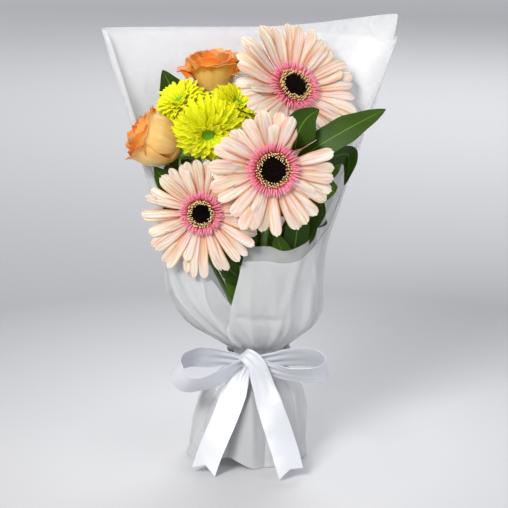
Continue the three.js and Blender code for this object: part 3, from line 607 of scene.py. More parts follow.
def standing(turn, radius, height, lean=0):
    """Stands a small part round the Z axis, leaning outwards."""
    spot = Matrix.Rotation(turn, 4, "Z") @ Matrix.Translation((radius, 0, height))
    return spot @ Matrix.Rotation(lean, 4, "Y")


def add_cone(bm, segments, low, high, depth, matrix):
    """Adds a closed cone round a matrix's Z axis. low and high are its radii."""
    return bmesh.ops.create_cone(
        bm, cap_ends=True, segments=segments, radius1=low, radius2=high, depth=depth, matrix=matrix
    )["verts"]


def add_head_stem(bm, flower, head, nape, seat, radius_at):
    """Adds a flower's stem. It ends at two heights on the head's own axis."""
    route = flower["route"] + [head @ Vector((0, 0, height)) for height in (nape, seat)]
    add_tube(bm, stem_route(flower["ring"], flower["angle"], route), radius_at, sides=12)
    cut_flat(bm)


def is_bare(flower, turn):
    """Whether the head has no ray at this angle."""
    low, high = flower["bare"]
    return math.radians(low) < turn < math.radians(high)


def add_ray(bm, flower, turn, reach, drop, rng, twist=0, tone=None):
    """Adds a strap-shaped ray with three ribs, a blunt toothed tip and edges that roll."""
    size = flower["reach"] / USUAL_REACH
    base = flower["stamens"] - 3
    width = RAY_WIDTHS * size / flower["rays"] * rng.uniform(0.82, 1.14)
    sag = rng.uniform(-3.6, 1.2)
    sway = rng.uniform(-2.6, 2.6)
    curl = rng.uniform(-1.0, 1.5)
    lean_over = rng.uniform(-0.2, 0.2)
    tooth = rng.uniform(0.2, 0.6)
    spin = Matrix.Rotation(turn, 3, "Z")

    def place(u, v):
        side = 2 * u - 1
        v = 1 - (1 - v) ** 1.35
        tip = ease(v, 0.84, 1)
        out = blend(base, reach, v) - (1.7 * side * side - tooth * math.cos(side * math.tau)) * tip * size
        outline = (0.36 + 0.64 * ease(v, 0, 0.6)) * math.sqrt(1 - 0.7 * max((v - 0.82) / 0.18, 0) ** 2.2)
        across = side * width / 2 * outline
        rise = flower["cup"] * ease(out, flower["florets"] * 0.75, flower["reach"] * 0.9) - 1.5 * v**4 - drop
        rise += sag * v**3
        rise += curl * side * side * outline + 0.34 * math.cos(side * math.tau * 1.5) * ease(v, 0.05, 0.3)
        lean = twist * ease(v, 0.1, 0.6) + lean_over * v
        return spin @ Vector((out, across * math.cos(lean) + sway * v**3, rise + across * math.sin(lean)))

    add_sheet(bm, 8, 14, place, rng.random() if tone is None else tone)


def add_strap(bm, turn, root, tip, width, bow, rng, wall=0):
    """Adds a narrow pointed strap from a (radius, height) root to a (radius, height) tip. One with a wall
    is closed at once, for a piece that gets no thickness as a whole."""
    spin = Matrix.Rotation(turn, 3, "Z")
    sway = rng.uniform(-0.8, 0.8)

    def place(u, v):
        side = 2 * u - 1
        taper = (1 - v**3.4) * 0.85 + 0.08
        return spin @ Vector((
            blend(root[0], tip[0], v),
            side * width / 2 * taper + sway * v * v,
            blend(root[1], tip[1], v) + bow * math.sin(math.pi * v) - 0.3 * side * side,
        ))

    made = add_sheet(bm, 2, 4, place, rng.random())
    if wall:
        faces = list(dict.fromkeys(face for vert in made for face in vert.link_faces))
        bmesh.ops.solidify(bm, geom=faces, thickness=wall)


def add_bud(bm, place, radius, height, tone):
    """Adds a small rounded bud that stands on a spot."""
    tones = tone_layer(bm)
    made = bmesh.ops.create_icosphere(
        bm, subdivisions=1, radius=1, matrix=place @ Matrix.Diagonal((radius, radius, height, 1))
    )["verts"]
    for vert in made:
        vert[tones] = tone


def add_tone(tree, output="Fac"):
    return add_node(tree, "ShaderNodeAttribute", output, {}, attribute_name="tone")


def add_mix(tree, mask, under, over, blend_type="MIX"):
    return add_node(tree, "ShaderNodeMix", "Result", {
        "Factor": mask, "A": under, "B": over,
    }, data_type="RGBA", blend_type=blend_type)


def petal_material(name, stops, line_tint, line_count, line_depth, painted_edge_shade, blush, gloss=0.5, inside=0.15,
                   shine=0.35):
    """A petal whose colour runs from root to tip. It has fine lines along it, painted shade along its two
    sides towards the root where petals overlap, patches of blush, and its own lighter or darker tone."""
    material, tree = start_material(name)
    flat = add_spot(tree, "UV")
    across = add_node(tree, "ShaderNodeSeparateXYZ", "X", {"Vector": flat})
    upward = add_node(tree, "ShaderNodeSeparateXYZ", "Y", {"Vector": flat})
    far = add_node(tree, "ShaderNodeVectorMath", "Vector", {
        0: add_tone(tree, "Vector"), "Scale": 40.0,
    }, operation="SCALE")

    def clouds(columns, rows, detail):
        spread = add_node(tree, "ShaderNodeMapping", "Vector", {"Vector": flat, "Scale": (columns, rows, 1)})
        moved = add_node(tree, "ShaderNodeVectorMath", "Vector", {0: spread, 1: far}, operation="ADD")
        return add_noise(tree, moved, 1, detail)

    off = add_math(tree, "ABSOLUTE", add_range(tree, across, 0, 1, -1, 1))
    # painted shade: the two sides are darkened towards the root, where the petals overlap and shade each
    # other
    edge_shade_mask = add_math(
        tree, "MULTIPLY", add_range(tree, off, 0.62, 0.98), add_range(tree, upward, 0.45, 0.92, 1, 0)
    )
    lines = clouds(line_count, 1.6, 2)
    patch = add_range(tree, clouds(1.3, 1.5, 1), 0.46, 0.64, 0, blush[1])
    color = add_mix(tree, patch, add_ramp(tree, upward, stops), blush[0])
    color = add_mix(tree, add_range(tree, lines, 0.62, 0.3), color, line_tint, "MULTIPLY")
    color = add_mix(tree, edge_shade_mask, color, painted_edge_shade, "MULTIPLY")
    value = add_range(tree, add_tone(tree), 0, 1, 0.86, 1.04, clamp=False)
    feed_shader(tree, {
        "Base Color": add_node(tree, "ShaderNodeHueSaturation", "Color", {"Color": color, "Value": value}),
        "Normal": add_bump(tree, lines, line_depth, 0.0006),
        "Roughness": gloss,
        "Specular IOR Level": shine,
        "Subsurface Weight": inside,
        "Subsurface Radius": (1.0, 0.5, 0.3),
        "Subsurface Scale": 0.003,
    })
    return material


def bud_material(name, stops, scale, amount, gloss, shine=0.5):
    """A finely mottled material for buds and stamens, whose tone picks their colour."""
    material, tree = start_material(name)
    color = add_mottle(tree, add_ramp(tree, add_tone(tree), stops), scale, amount)
    feed_shader(tree, {"Base Color": color, "Roughness": gloss, "Specular IOR Level": shine})
    return material


# the orange-brown edge colour is painted shade for the dark slots between overlapping rays
ray_petal = petal_material(
    "ray_petal",
    [(0.0, (0.88, 0.22, 0.30)), (0.2, (0.96, 0.56, 0.47)), (0.4, (0.99, 0.76, 0.62)),
     (0.7, (1.0, 0.86, 0.72)), (1.0, (1.0, 0.91, 0.76))],
    (0.87, 0.60, 0.42), 6, 1.0, (0.72, 0.37, 0.20), ((0.98, 0.68, 0.69), 0.6), inside=0.4,
)
# the pink edge colour is painted shade where the florets crowd together
floret_petal = petal_material(
    "floret_petal",
    [(0.0, (0.84, 0.03, 0.12)), (0.3, (0.98, 0.16, 0.28)), (0.75, (1.0, 0.28, 0.40)),
     (1.0, (1.0, 0.52, 0.60))],
    (0.95, 0.72, 0.78), 2, 0.4, (0.95, 0.6, 0.66), ((1.0, 0.6, 0.68), 0.4), inside=0.3,
)
stamen_tip = bud_material(
    "stamen_tip", [(0.0, (0.30, 0.08, 0.02)), (0.5, (0.88, 0.56, 0.18)), (1.0, (1.0, 0.88, 0.50))],
    700, 0.5, 0.8,
)
eye_bud = bud_material(
    "eye_bud", [(0.0, (0.004, 0.002, 0.002)), (0.7, (0.012, 0.004, 0.003)), (1.0, (0.12, 0.035, 0.015))],
    600, 0.8, 0.9, 0.1,
)

GOLDEN_TURN = math.radians(137.508)
FLORET_ROWS = (
    # florets, root outside the stamens, share of the ring that they reach over, height of the tip, width
    (54, 0.5, 1.1, 2.8, 2.0), (44, 0.4, 0.94, 4.6, 1.6), (40, 0.3, 0.76, 6.0, 1.5), (34, 0.2, 0.5, 6.8, 1.3),
)
STAMEN_ROWS = ((40, 0.92), (38, 0.66), (34, 0.4), (28, 0.12))     # stamens, share of the way out
EYE_BUD_COUNT = 150
EYE_SPIKE_COUNT = 34
BRACT_ROWS = ((16, 1.15), (14, 0.95), (12, 0.72))     # bracts, reach as a share of the collar
for flower in GERBERAS:
    rng = random.Random(flower["seed"])
    head = head_matrix(flower["centre"], flower["facing"])
    name, eye_radius, inner, outer = flower["name"], flower["eye"], flower["stamens"], flower["florets"]

    bm = bmesh.new()
    for layer in (0, 1):
        for i in range(flower["rays"]):
            turn = (i + layer / 2 + rng.uniform(-0.16, 0.16)) / flower["rays"] * math.tau
            reach = 1 + flower["longer"] * math.cos(turn - math.radians(flower["longest"]))
            reach *= flower["reach"] * rng.uniform(0.93, 1.02)
            if not is_bare(flower, turn):
                add_ray(bm, flower, turn, reach, UPPER_RAYS_DROP + layer * RAY_LAYER_GAP, rng)
    for i in range(SHORT_RAY_COUNT):
        turn = (i + rng.uniform(0, 0.8)) / SHORT_RAY_COUNT * math.tau
        if not is_bare(flower, turn):
            add_ray(bm, flower, turn, flower["reach"] * rng.uniform(0.72, 0.9), UPPER_RAYS_DROP / 2, rng)
    for turn, reach, twist in flower["edge_on"]:
        turn, twist = math.radians(turn), math.radians(twist)
        add_ray(bm, flower, turn, reach, UPPER_RAYS_DROP, rng, twist, EDGE_ON_TONE)
    add_cone(bm, 40, inner, inner + 1, HUB_DEPTH, Matrix.Translation((0, 0, -HUB_DEPTH / 2 - 0.4)))
    rays = make_piece(f"{name}_ray_petals", bm, ray_petal, PETAL, head)
    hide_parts(f"{name}_rays")

    bm = bmesh.new()
    for count, root, tip_out, tip_up, width in FLORET_ROWS:
        for i in range(count):
            turn = (i + rng.uniform(-0.3, 0.3)) / count * math.tau
            tip = (blend(inner, outer, tip_out * rng.uniform(0.9, 1.06)), tip_up * rng.uniform(0.8, 1.15))
            add_strap(bm, turn, (inner + root, 0.5), tip, width, 1.2, rng)
    florets = make_piece(f"{name}_pink_florets", bm, floret_petal, FLORET, head)
    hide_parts(f"{name}_florets")

    bm = bmesh.new()
    tones = tone_layer(bm)
    for count, share in STAMEN_ROWS:
        for i in range(count):
            turn = (i + rng.uniform(-0.25, 0.25)) / count * math.tau
            radius = blend(eye_radius, inner, share + rng.uniform(-0.1, 0.1))
            tall = rng.uniform(4.2, 6.2)
            stand = standing(turn, radius, 0.3, rng.uniform(-0.1, 0.3))
            made = add_cone(bm, 6, 0.34, 0.5, tall, stand @ Matrix.Translation((0, 0, tall / 2)))
            low = set(sorted(made, key=lambda vert: vert.co.z)[:6])
            for vert in made:
                vert[tones] = 0.0 if vert in low else rng.uniform(0.65, 1.0)
    stamens = make_piece(f"{name}_stamen_tips", bm, stamen_tip, head=head)
    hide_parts(f"{name}_stamens")

    bm = bmesh.new()
    for i in range(EYE_BUD_COUNT):
        share = math.sqrt((i + 0.5) / EYE_BUD_COUNT)
        rise = 0.8 + 2.6 * math.cos(share * 1.25) - 0.5 * (share < 0.3)
        tone = rng.uniform(0.9, 1.0) if share > 0.9 and rng.random() < 0.25 else rng.uniform(0, 0.7)
        stand = standing(i * GOLDEN_TURN, eye_radius * 1.02 * share, rise, 0.5 * share)
        add_bud(bm, stand, eye_radius * 0.085, 1.9, tone)
    for i in range(EYE_SPIKE_COUNT):
        turn = (i + rng.uniform(-0.3, 0.3)) / EYE_SPIKE_COUNT * math.tau
        radius = eye_radius * rng.uniform(0.92, 1.04)
        tall = rng.uniform(4.6, 6.6)
        stand = standing(turn, radius, 2.6, rng.uniform(0.45, 0.95))
        add_cone(bm, 5, 0.85, 0.14, tall, stand @ Matrix.Translation((0, 0, 1.9)))
    add_cone(bm, 32, eye_radius, eye_radius * 0.85, 2, Matrix.Translation((0, 0, 1.3)))
    eye = make_piece(f"{name}_dark_eye", bm, eye_bud, head=head)
    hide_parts(f"{name}_eye")

    bm = bmesh.new()
    top = -HUB_DEPTH - 0.6
    collar = inner - 1
    add_tube(bm, upright(top - 9, top - 4, top),
             lambda v: blend(4.2, collar * 0.96, math.sin(v * math.pi / 2)), sides=24, steps=4)
    for row, (count, reach) in enumerate(BRACT_ROWS):
        for i in range(count):
            turn = (i + row / 2) / count * math.tau
            root, tip = (3.6, top - 9.5 + row), (collar * reach, top + 0.2 - row * 1.6)
            add_strap(bm, turn, root, tip, 4.6, -1.6, rng, BRACT)
    bmesh.ops.transform(bm, matrix=head, verts=bm.verts)
    add_head_stem(bm, flower, head, top - 20, top - 5, lambda v: blend(3.8, 3.1, v) + 0.9 * ease(v, 0.95, 1))
    stem = make_piece(f"{name}_stem_and_cup", bm, stem_skin)
    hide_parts(f"{name}_stem")


# ---- Roses --------------------------------------------------------------------------------------------
# Each rose is a closed cup of broad apricot petals that wrap round one another, with rims that roll back
# and crinkle. Below it are a green hip with five narrow sepals and a stem.

ROSE_PETAL = 0.5
# how wide a petal stands at each share of its height
FULL_ROSE = [(0, 0.42), (0.12, 0.66), (0.3, 0.86), (0.55, 1), (0.8, 0.97), (1, 0.92)]
SLENDER_ROSE = [(0, 0.3), (0.12, 0.46), (0.3, 0.62), (0.55, 0.78), (0.8, 0.9), (1, 0.97)]
ROSES = [
    # spin: angle of the first petal; flare: how far the rims open; point: angle where a rim folds out
    {
        "name": "rose_left", "base": (-67, -6, 293), "facing": (-0.906, -0.07, 0.425), "height": 48,
        "seed": 11, "spin": 200, "flare": 0.0, "point": None, "swell": FULL_ROSE, "ring": OUTER_RING,
        "angle": 165, "route": [(-10, 3, 140), (-28, 3, 200), (-44, 0, 255), (-54, -3, 280)],
    },
    {
        "name": "rose_back", "base": (-34, 53, 328), "facing": (-0.05, -0.1, 0.99), "height": 50,
        "seed": 12, "spin": 262, "flare": 0.1, "point": 185, "swell": SLENDER_ROSE, "ring": OUTER_RING,
        "angle": 105, "route": [(0, 12, 140), (-12, 28, 210), (-26, 44, 280)],
    },
]
ROSE_RINGS = (
    # radius, height, degrees to each side of the middle, how far the rim rolls back, crinkle
    (8.0, 1.03, 80, 0.6, 0.5),
    (12.0, 1.05, 76, 1.2, 0.8),
    (16.0, 1.04, 74, 2.2, 1.2),
    (20.0, 1.0, 72, 4.0, 1.8),
    (24.0, 0.95, 74, 5.8, 2.2),
)
RING_PETAL_COUNT = 3
SEPAL_COUNT = 5


def add_rose_petal(bm, rose, middle, radius, tall, half, roll, crinkle, rng):
    """Adds a petal that wraps round the bloom's axis, by half degrees to each side of its middle."""
    phase = rng.uniform(0, math.tau)
    peak = rng.uniform(-0.25, 0.25)
    lift = rng.uniform(-0.6, 0.6)

    def place(u, v):
        side = 2 * u - 1
        angle = middle + side * half * (0.5 + 0.5 * math.sqrt(v))
        turn = math.radians(angle)
        rolled = ease(v, 0.74, 1)
        rim = 1 - 0.10 * (side - peak) ** 2 * v - 0.08 * abs(side - peak) * v * v
        rim -= 0.08 * rolled * rolled * roll / 6
        wave = crinkle * ease(v, 0.66, 1) * math.sin(side * 8.5 + phase)
        wave += 0.55 * crinkle * ease(v, 0.84, 1) * math.sin(side * 21 + phase * 2)
        curled = roll * rolled**1.6 * (0.55 + 0.6 * side * side)
        if rose["point"] is not None:
            near = abs((angle - rose["point"] + 180) % 360 - 180) / 22
            curled += 5.5 * max(1 - near, 0) ** 1.4 * ease(v, 0.6, 1) * radius / 24
        out = radius * along(rose["swell"], v) * (1 + rose["flare"] * v * v)
        out += curled + 0.9 * side + 0.5 * wave + lift * v
        return Vector((out * math.cos(turn), out * math.sin(turn), 2 + (tall - 2) * v * rim + 0.7 * wave))

    add_sheet(bm, 26, 18, place, rng.random())


# the edge colour darkens the petal sides near the root as painted shade where the petals overlap
rose_petal = petal_material(
    "rose_petal",
    [(0.0, (0.98, 0.54, 0.14)), (0.4, (1.0, 0.62, 0.20)), (0.76, (1.0, 0.58, 0.16)),
     (0.9, (0.98, 0.37, 0.05)), (1.0, (0.93, 0.22, 0.02))],
    (0.95, 0.84, 0.74), 12, 0.2, (0.97, 0.80, 0.66), ((1.0, 0.68, 0.30), 0.5), gloss=0.42, inside=0.2,
)
for rose in ROSES:
    rng = random.Random(rose["seed"])
    name = rose["name"]
    head = head_matrix(rose["base"], rose["facing"])
    bm = bmesh.new()
    for i, radius in enumerate((2.6, 5.0)):
        add_rose_petal(bm, rose, rose["spin"] + 140 * i, radius, rose["height"] * 0.92, 150, 0.4, 0.4, rng)
    outermost = len(ROSE_RINGS) - 1
    for order, (radius, height, half, roll, crinkle) in enumerate(ROSE_RINGS):
        for i in range(RING_PETAL_COUNT):
            middle = rose["spin"] + i / RING_PETAL_COUNT * 360 + (outermost - order) * 57
            middle += rng.uniform(-7, 7) * (order < outermost)
            tall = rose["height"] * height * rng.uniform(0.95, 1.03)
            add_rose_petal(bm, rose, middle, radius, tall, half, roll, crinkle, rng)
    add_tube(bm, upright(0.3, 4, 8), lambda v: 7 + 6 * math.sin(v * 2.2), sides=20, steps=3)
    bloom = make_piece(f"{name}_rose_petals", bm, rose_petal, ROSE_PETAL, head)
    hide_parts(f"{name}_bloom")

    bm = bmesh.new()
    add_tube(bm, upright(-9, -5, -0.4), lambda v: blend(3.1, 6.4, math.sin(v * 1.5)), sides=16, steps=3)
    for i in range(SEPAL_COUNT):
        add_strap(bm, i / SEPAL_COUNT * math.tau, (4.4, -2.4), (18, -8), 5, 1.6, rng, BRACT)
    bmesh.ops.transform(bm, matrix=head, verts=bm.verts)
    add_head_stem(bm, rose, head, -18, -5, lambda v: blend(3.8, 3.0, v))
    stem = make_piece(f"{name}_stem_and_hip", bm, stem_skin)
    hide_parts(f"{name}_stem")


# ---- Chrysanthemum spray ------------------------------------------------------------------------------
# One green stem forks into three yellow blooms. Each bloom has several layers of narrow hollowed petals
# that open from a small green eye of unopened florets.

MUM_PETAL = 0.4
MUM_FULL_REACH = 33
MUMS = [
    # name, centre, facing, reach, seed
    ("mum_front", (-40.5, -22.5, 316), (0.12, -0.96, -0.25), MUM_FULL_REACH, 21),
    ("mum_left", (-64.5, 18.5, 331), (-0.35, -0.4, 0.85), 27, 22),
    ("mum_right", (-16, 8, 331), (0.4, -0.42, 0.81), 26, 23),
]
MUM_LAYERS = (
    # petals, lean from the bloom's axis in degrees, length
    (26, 100, 1.0), (25, 90, 1.0), (24, 80, 0.98), (21, 69, 0.93), (18, 56, 0.84), (14, 42, 0.7),
)
MUM_FORK = Vector((-10, 1, 216))
MUM_CORE_TOP = 6
MUM_BUD_COUNT = 64


def add_mum_petal(bm, turn, tilt, start, reach, width, rng):
    """Adds a narrow hollowed petal that leans from the bloom's axis by tilt degrees."""
    spin = Matrix.Rotation(turn, 3, "Z")
    tilt = math.radians(tilt + rng.uniform(-5, 5))
    sway = rng.uniform(-1.4, 1.4)
    hollow = rng.uniform(0.75, 1.35)
    tip_curl = rng.uniform(-0.05, 0.12)

    def place(u, v):
        side = 2 * u - 1
        far = blend(start, reach, v)
        tip = math.sqrt(1 - 0.96 * max((v - 0.68) / 0.32, 0) ** 2)
        half = width / 2 * (0.42 + 0.66 * math.sin(min(v * 1.9, 1.57))) * tip
        lift = reach * 0.11 * math.sin(v * 2.5) + hollow * side * side * half * 0.5 + reach * tip_curl * v**4
        out = far * math.sin(tilt) - lift * math.cos(tilt)
        rise = far * math.cos(tilt) + lift * math.sin(tilt)
        return spin @ Vector((out, side * half + sway * v * v, rise))

    add_sheet(bm, 4, 8, place, rng.random())


# the olive edge colour is painted shade along the petals' sides near the root
mum_petal = petal_material(
    "mum_petal",
    [(0.0, (0.70, 0.72, 0.004)), (0.2, (0.96, 0.94, 0.005)), (0.5, (1.0, 0.97, 0.01)),
     (1.0, (1.0, 0.99, 0.02))],
    (0.97, 0.95, 0.7), 5, 0.3, (0.92, 0.92, 0.5), ((1.0, 1.0, 0.04), 0.5), gloss=0.6, inside=0.6, shine=0.12,
)
mum_bud = bud_material(
    "mum_bud", [(0.0, (0.22, 0.62, 0.03)), (0.6, (0.30, 0.66, 0.03)), (1.0, (0.12, 0.34, 0.02))],
    500, 0.3, 0.55,
)
for name, centre, facing, full_reach, seed in MUMS:
    rng = random.Random(seed)
    head = head_matrix(centre, facing)
    width = 5.1 * full_reach / MUM_FULL_REACH
    bm = bmesh.new()
    for order, (count, tilt, length) in enumerate(MUM_LAYERS):
        for i in range(count):
            turn = (i + order * 0.5 + rng.uniform(-0.2, 0.2)) / count * math.tau
            reach = full_reach * length * (rng.uniform(0.9, 1.03) + 0.13 * math.sin(turn))
            add_mum_petal(bm, turn, tilt, 5.5 + 0.2 * order, reach, width, rng)
    add_tube(bm, upright(-5, 0, MUM_CORE_TOP - 0.5), lambda v: 6 + 2.6 * math.sin(v * 2.4), sides=20, steps=3)
    petals = make_piece(f"{name}_yellow_petals", bm, mum_petal, MUM_PETAL, head)
    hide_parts(f"{name}_petals")

    bm = bmesh.new()
    radius = full_reach * 0.17
    for i in range(MUM_BUD_COUNT):
        share = math.sqrt((i + 0.5) / MUM_BUD_COUNT)
        stand = standing(i * GOLDEN_TURN, radius * share, MUM_CORE_TOP + 1.6 + 0.9 * math.sin(share * 2.6))
        add_bud(bm, stand, radius * 0.13, 1.0, share * rng.uniform(0.7, 1))
    add_cone(bm, 24, radius, radius * 0.9, 2.2, Matrix.Translation((0, 0, MUM_CORE_TOP + 0.9)))
    eye = make_piece(f"{name}_green_eye", bm, mum_bud, head=head)
    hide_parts(f"{name}_eye")

bm = bmesh.new()
route = stem_route(0, 0, [(3, 1, 130), (-3, 1, 175), MUM_FORK])
add_tube(bm, route, lambda v: 3.2 - 0.6 * v, sides=12)
for _, centre, facing, *_ in MUMS:
    head = head_matrix(centre, facing)
    cup = add_tube(
        bm, upright(-12, -8.5, -5.4), lambda v: blend(2.3, 6.3, math.sin(v * 1.5)), sides=16, steps=3
    )
    bmesh.ops.transform(bm, matrix=head, verts=cup)
    seat, nape = head @ Vector((0, 0, -8)), head @ Vector((0, 0, -20))
    knee = MUM_FORK.lerp(nape, 0.5) + Vector((0, 0, 6))
    add_tube(bm, [MUM_FORK - Vector((0, 0, 4)), knee, nape, seat], lambda v: 2.0, sides=10)
cut_flat(bm)
stalk = make_piece("mum_forked_stem", bm, stem_skin)
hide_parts("mum_stem")


# ---- Foliage ------------------------------------------------------------------------------------------
# Six leafy ruscus stems fill the space round the flowers. Their tough glossy leaves are dark green, with
# a pale midrib and fine veins that run along the blade to its point.

LEAF = 0.5
LEAFY_STEMS = [
    # name, angle in the bundle, route, leaves: share of the stem, tip, turn, width, and where some bend to
    ("foliage_right", 15, [(30, 6, 150), (44, 2, 210), (46, -16, 262), (39, -34, 294)], [
        (0.97, (122, -22, 336), -25, 26), (0.99, (61, -36, 338), 8, 30, (37, -38, 331)),
        (0.85, (86, -8, 262), 38, 24, (112, -12, 328)), (0.62, (70, -12, 226), -30, 22),
        (0.74, (80, 2, 258), -20, 26), (0.7, (66, -2, 290), -30, 24),
        (0.55, (68, 14, 240), -30, 26), (0.8, (84, 2, 284), -10, 26), (0.66, (76, 8, 272), 15, 24),
    ]),
    ("foliage_left", 195, [(-16, -4, 140), (-40, -4, 190), (-62, -4, 228), (-70, -6, 246)], [
        (0.98, (-90, -12, 280), 30, 20), (0.85, (-84, 0, 236), 20, 18),
        (0.6, (-66, 8, 216), 40, 20), (0.9, (-80, 12, 278), 20, 22), (0.75, (-66, 14, 262), 10, 22),
    ]),
    ("foliage_back_left", 135, [(-18, 22, 160), (-36, 38, 230), (-58, 54, 300)], [
        (0.98, (-78, 50, 350), 20, 25), (0.99, (-84, 46, 361), 12, 32),
        (0.8, (-84, 34, 282), 30, 20), (0.62, (-10, 52, 268), 10, 20),
        (0.5, (-4, 30, 246), -10, 26), (0.9, (-30, 32, 300), 10, 24),
    ]),
    ("foliage_back", 75, [(14, 24, 160), (12, 40, 230), (8, 46, 296)], [
        (0.98, (4, 44, 356), 0, 26), (0.84, (62, 50, 296), 0, 28), (0.66, (60, 34, 250), 0, 28),
        (0.55, (-22, 48, 232), 0, 20), (0.45, (46, 26, 214), 10, 28), (0.6, (22, 30, 262), 0, 28),
        (0.4, (6, 22, 222), -10, 26), (0.95, (-22, 36, 344), -10, 24),
    ]),
    ("foliage_low_right", -45, [(22, -12, 134), (32, -14, 168), (40, -16, 200)], [
        (0.98, (62, -15, 246), -20, 22), (0.75, (22, -30, 222), 10, 20),
        (0.55, (52, -8, 172), -20, 18), (0.9, (44, -26, 252), 10, 24),
        (0.8, (60, -4, 222), -30, 24), (0.6, (14, -14, 226), 20, 24), (0.7, (38, -4, 236), -10, 26),
    ]),
    ("foliage_low_front", -105, [(-2, -19, 132), (-8, -24, 164), (-10, -26, 190)], [
        (0.98, (-2, -28, 236), 10, 20), (0.8, (-32, -24, 196), 10, 18),
        (0.66, (12, -28, 186), 0, 18), (0.85, (-22, -14, 226), -10, 22),
        (0.6, (4, -16, 206), 10, 24), (0.45, (-14, -8, 190), 0, 22), (0.5, (-24, -16, 184), 15, 18),
        (0.7, (-6, -20, 196), -10, 20), (0.75, (-30, -10, 206), 20, 20),
    ]),
]


def part_way(spots, share):
    """A spot at a share of the way through a list of them."""
    place = min(share * (len(spots) - 1), len(spots) - 1.0001)
    i = int(place)
    return spots[i].lerp(spots[i + 1], place - i)


def add_leaf(bm, root, rng, tip, turn, width, by=None):
    """Adds a pointed leaf that arches from its root to its tip, turned on its own axis by turn degrees."""
    tip = Vector(tip)
    bend = Vector(by) if by else root.lerp(tip, 0.5)
    length = (bend - root).length / 2 + (tip - bend).length / 2 + (tip - root).length / 2
    turn = math.radians(turn)
    wave = rng.uniform(0, math.tau)

    def place(u, v):
        ahead = ((bend - root) * (1 - v) + (tip - bend) * v).normalized()
        side = ahead.cross(Vector((0, 1, 0))).normalized()
        side.rotate(Matrix.Rotation(turn, 3, ahead))
        outward = ahead.cross(side)
        off = 1 - 2 * u
        across = 0.5 + width / 2 * math.sin(math.pi * v**0.85) ** 0.8 * ease(v, -0.3, 0.12)
        across *= 1 + 0.035 * math.sin(v * 21 + wave)
        arch = length * 0.07 * math.sin(math.pi * v) + 1.4 * abs(off) ** 1.5 * across / 12
        arch += 0.7 * math.sin(v * 9 + wave + off) * off * off
        middle = root * (1 - v) ** 2 + bend * (2 * v * (1 - v)) + tip * v * v
        return middle + side * off * across + outward * arch

    add_sheet(bm, 10, 22, place, rng.random())


VEINS = 88.0              # radians that the wave of the veins runs through over a blade's width
leaf_skin, tree = start_material("leaf_skin")
across = add_node(tree, "ShaderNodeSeparateXYZ", "X", {"Vector": add_spot(tree, "UV")})
blade = add_mottle(tree, add_ramp(tree, add_tone(tree), [
    (0.0, (0.014, 0.046, 0.001)), (0.5, (0.036, 0.088, 0.002)), (1.0, (0.088, 0.165, 0.003)),
]), 60, 0.6)
off = add_math(tree, "ABSOLUTE", add_math(tree, "SUBTRACT", across, 0.5))
midrib = add_range(tree, off, 0.012, 0.035, 0.8, 0.0)
wave = add_math(tree, "SINE", add_math(tree, "MULTIPLY", off, VEINS))
pale = add_math(tree, "MAXIMUM", midrib, add_range(tree, wave, 0.72, 1.0, 0, 0.22))
feed_shader(tree, {
    "Base Color": add_mix(tree, pale, blade, (0.13, 0.24, 0.02)),
    "Normal": add_bump(tree, pale, 0.4, 0.0005, invert=True),
    "Roughness": 0.48,
    "Specular IOR Level": 0.2,
    "Subsurface Weight": 0.1,
    "Subsurface Scale": 0.002,
})

for node_name, angle, route, leaves in LEAFY_STEMS:
    rng = random.Random(node_name)
    bm = bmesh.new()
    free = [bundle_place(OUTER_RING, angle, TIE_HEIGHT + BOUND_HALF)] + [Vector(spot) for spot in route]
    for share, *leaf in leaves:
        add_leaf(bm, part_way(free, share), rng, *leaf)
    blades = make_piece(f"{node_name}_leaves", bm, leaf_skin, LEAF)
    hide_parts(node_name)

    bm = bmesh.new()
    add_tube(bm, stem_route(OUTER_RING, angle, route), lambda v: 2.7 - 0.9 * v)
    cut_flat(bm)
    twig = make_piece(f"{node_name}_twig", bm, stem_skin)


# ---- Binding twine ------------------------------------------------------------------------------------
# Three turns of tan twine lie against each other round the stems at the waist, hidden by the paper.

TWINE = 2
TWINE_TURNS = 3
TWINE_STEPS = 72          # for each turn
BUNDLE_RADIUS = OUTER_RING + 3.2
twine_fibre, tree = start_material("twine_fibre")
feed_shader(tree, {"Base Color": add_mottle(tree, (0.50, 0.36, 0.19), 900, 0.7), "Roughness": 0.9})

bm = bmesh.new()
ring = bmesh.ops.create_circle(
    bm, segments=10, radius=TWINE / 2,
    matrix=Matrix.Translation((BUNDLE_RADIUS + TWINE / 2, 0, -TWINE)) @ Matrix.Rotation(math.pi / 2, 4, "X"),
)["verts"]
bmesh.ops.spin(
    bm, geom=bm.edges[:] + ring, cent=(0, 0, 0), axis=(0, 0, 1), dvec=(0, 0, TWINE / TWINE_STEPS),
    angle=TWINE_TURNS * math.tau, steps=TWINE_TURNS * TWINE_STEPS, use_duplicate=False,
)
bmesh.ops.holes_fill(bm, edges=[edge for edge in bm.edges if edge.is_boundary], sides=12)
bmesh.ops.recalc_face_normals(bm, faces=bm.faces)
bmesh.ops.translate(bm, vec=bundle_place(0, 0, TIE_HEIGHT) - Vector((0, 0, TWINE / 2)), verts=bm.verts)
twine = make_piece("bound_twine", bm, twine_fibre)
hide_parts("binding_twine")


# ---- Ribbon bow ---------------------------------------------------------------------------------------
# One 25 mm satin ribbon goes round the waist over the paper and is tied in front in a bow with two loops
# and two notched tails that hang down the skirt to the ground. A rounded knot holds them in front.

RIBBON = 0.5
RIBBON_WIDTH = 25
KNOT = Vector((-3, -36, 99))
KNOT_HALF_SIZE = (9.2, 5.8, 8.4)
BAND_X = 5                # the middle of the waist
BAND_RADIUS = 28.2
BAND_WIDTH = 12           # the ribbon is drawn together round the waist


def read_turn(turns, share):
    """Reads a (direction, width) at a share of the way along a list of them."""
    place = min(share * (len(turns) - 1), len(turns) - 1.0001)
    i = int(place)
    step = ease(place - i, 0, 1)
    direction = Vector(turns[i][0]).lerp(Vector(turns[i + 1][0]), step).normalized()
    return direction, blend(turns[i][1], turns[i + 1][1], step)


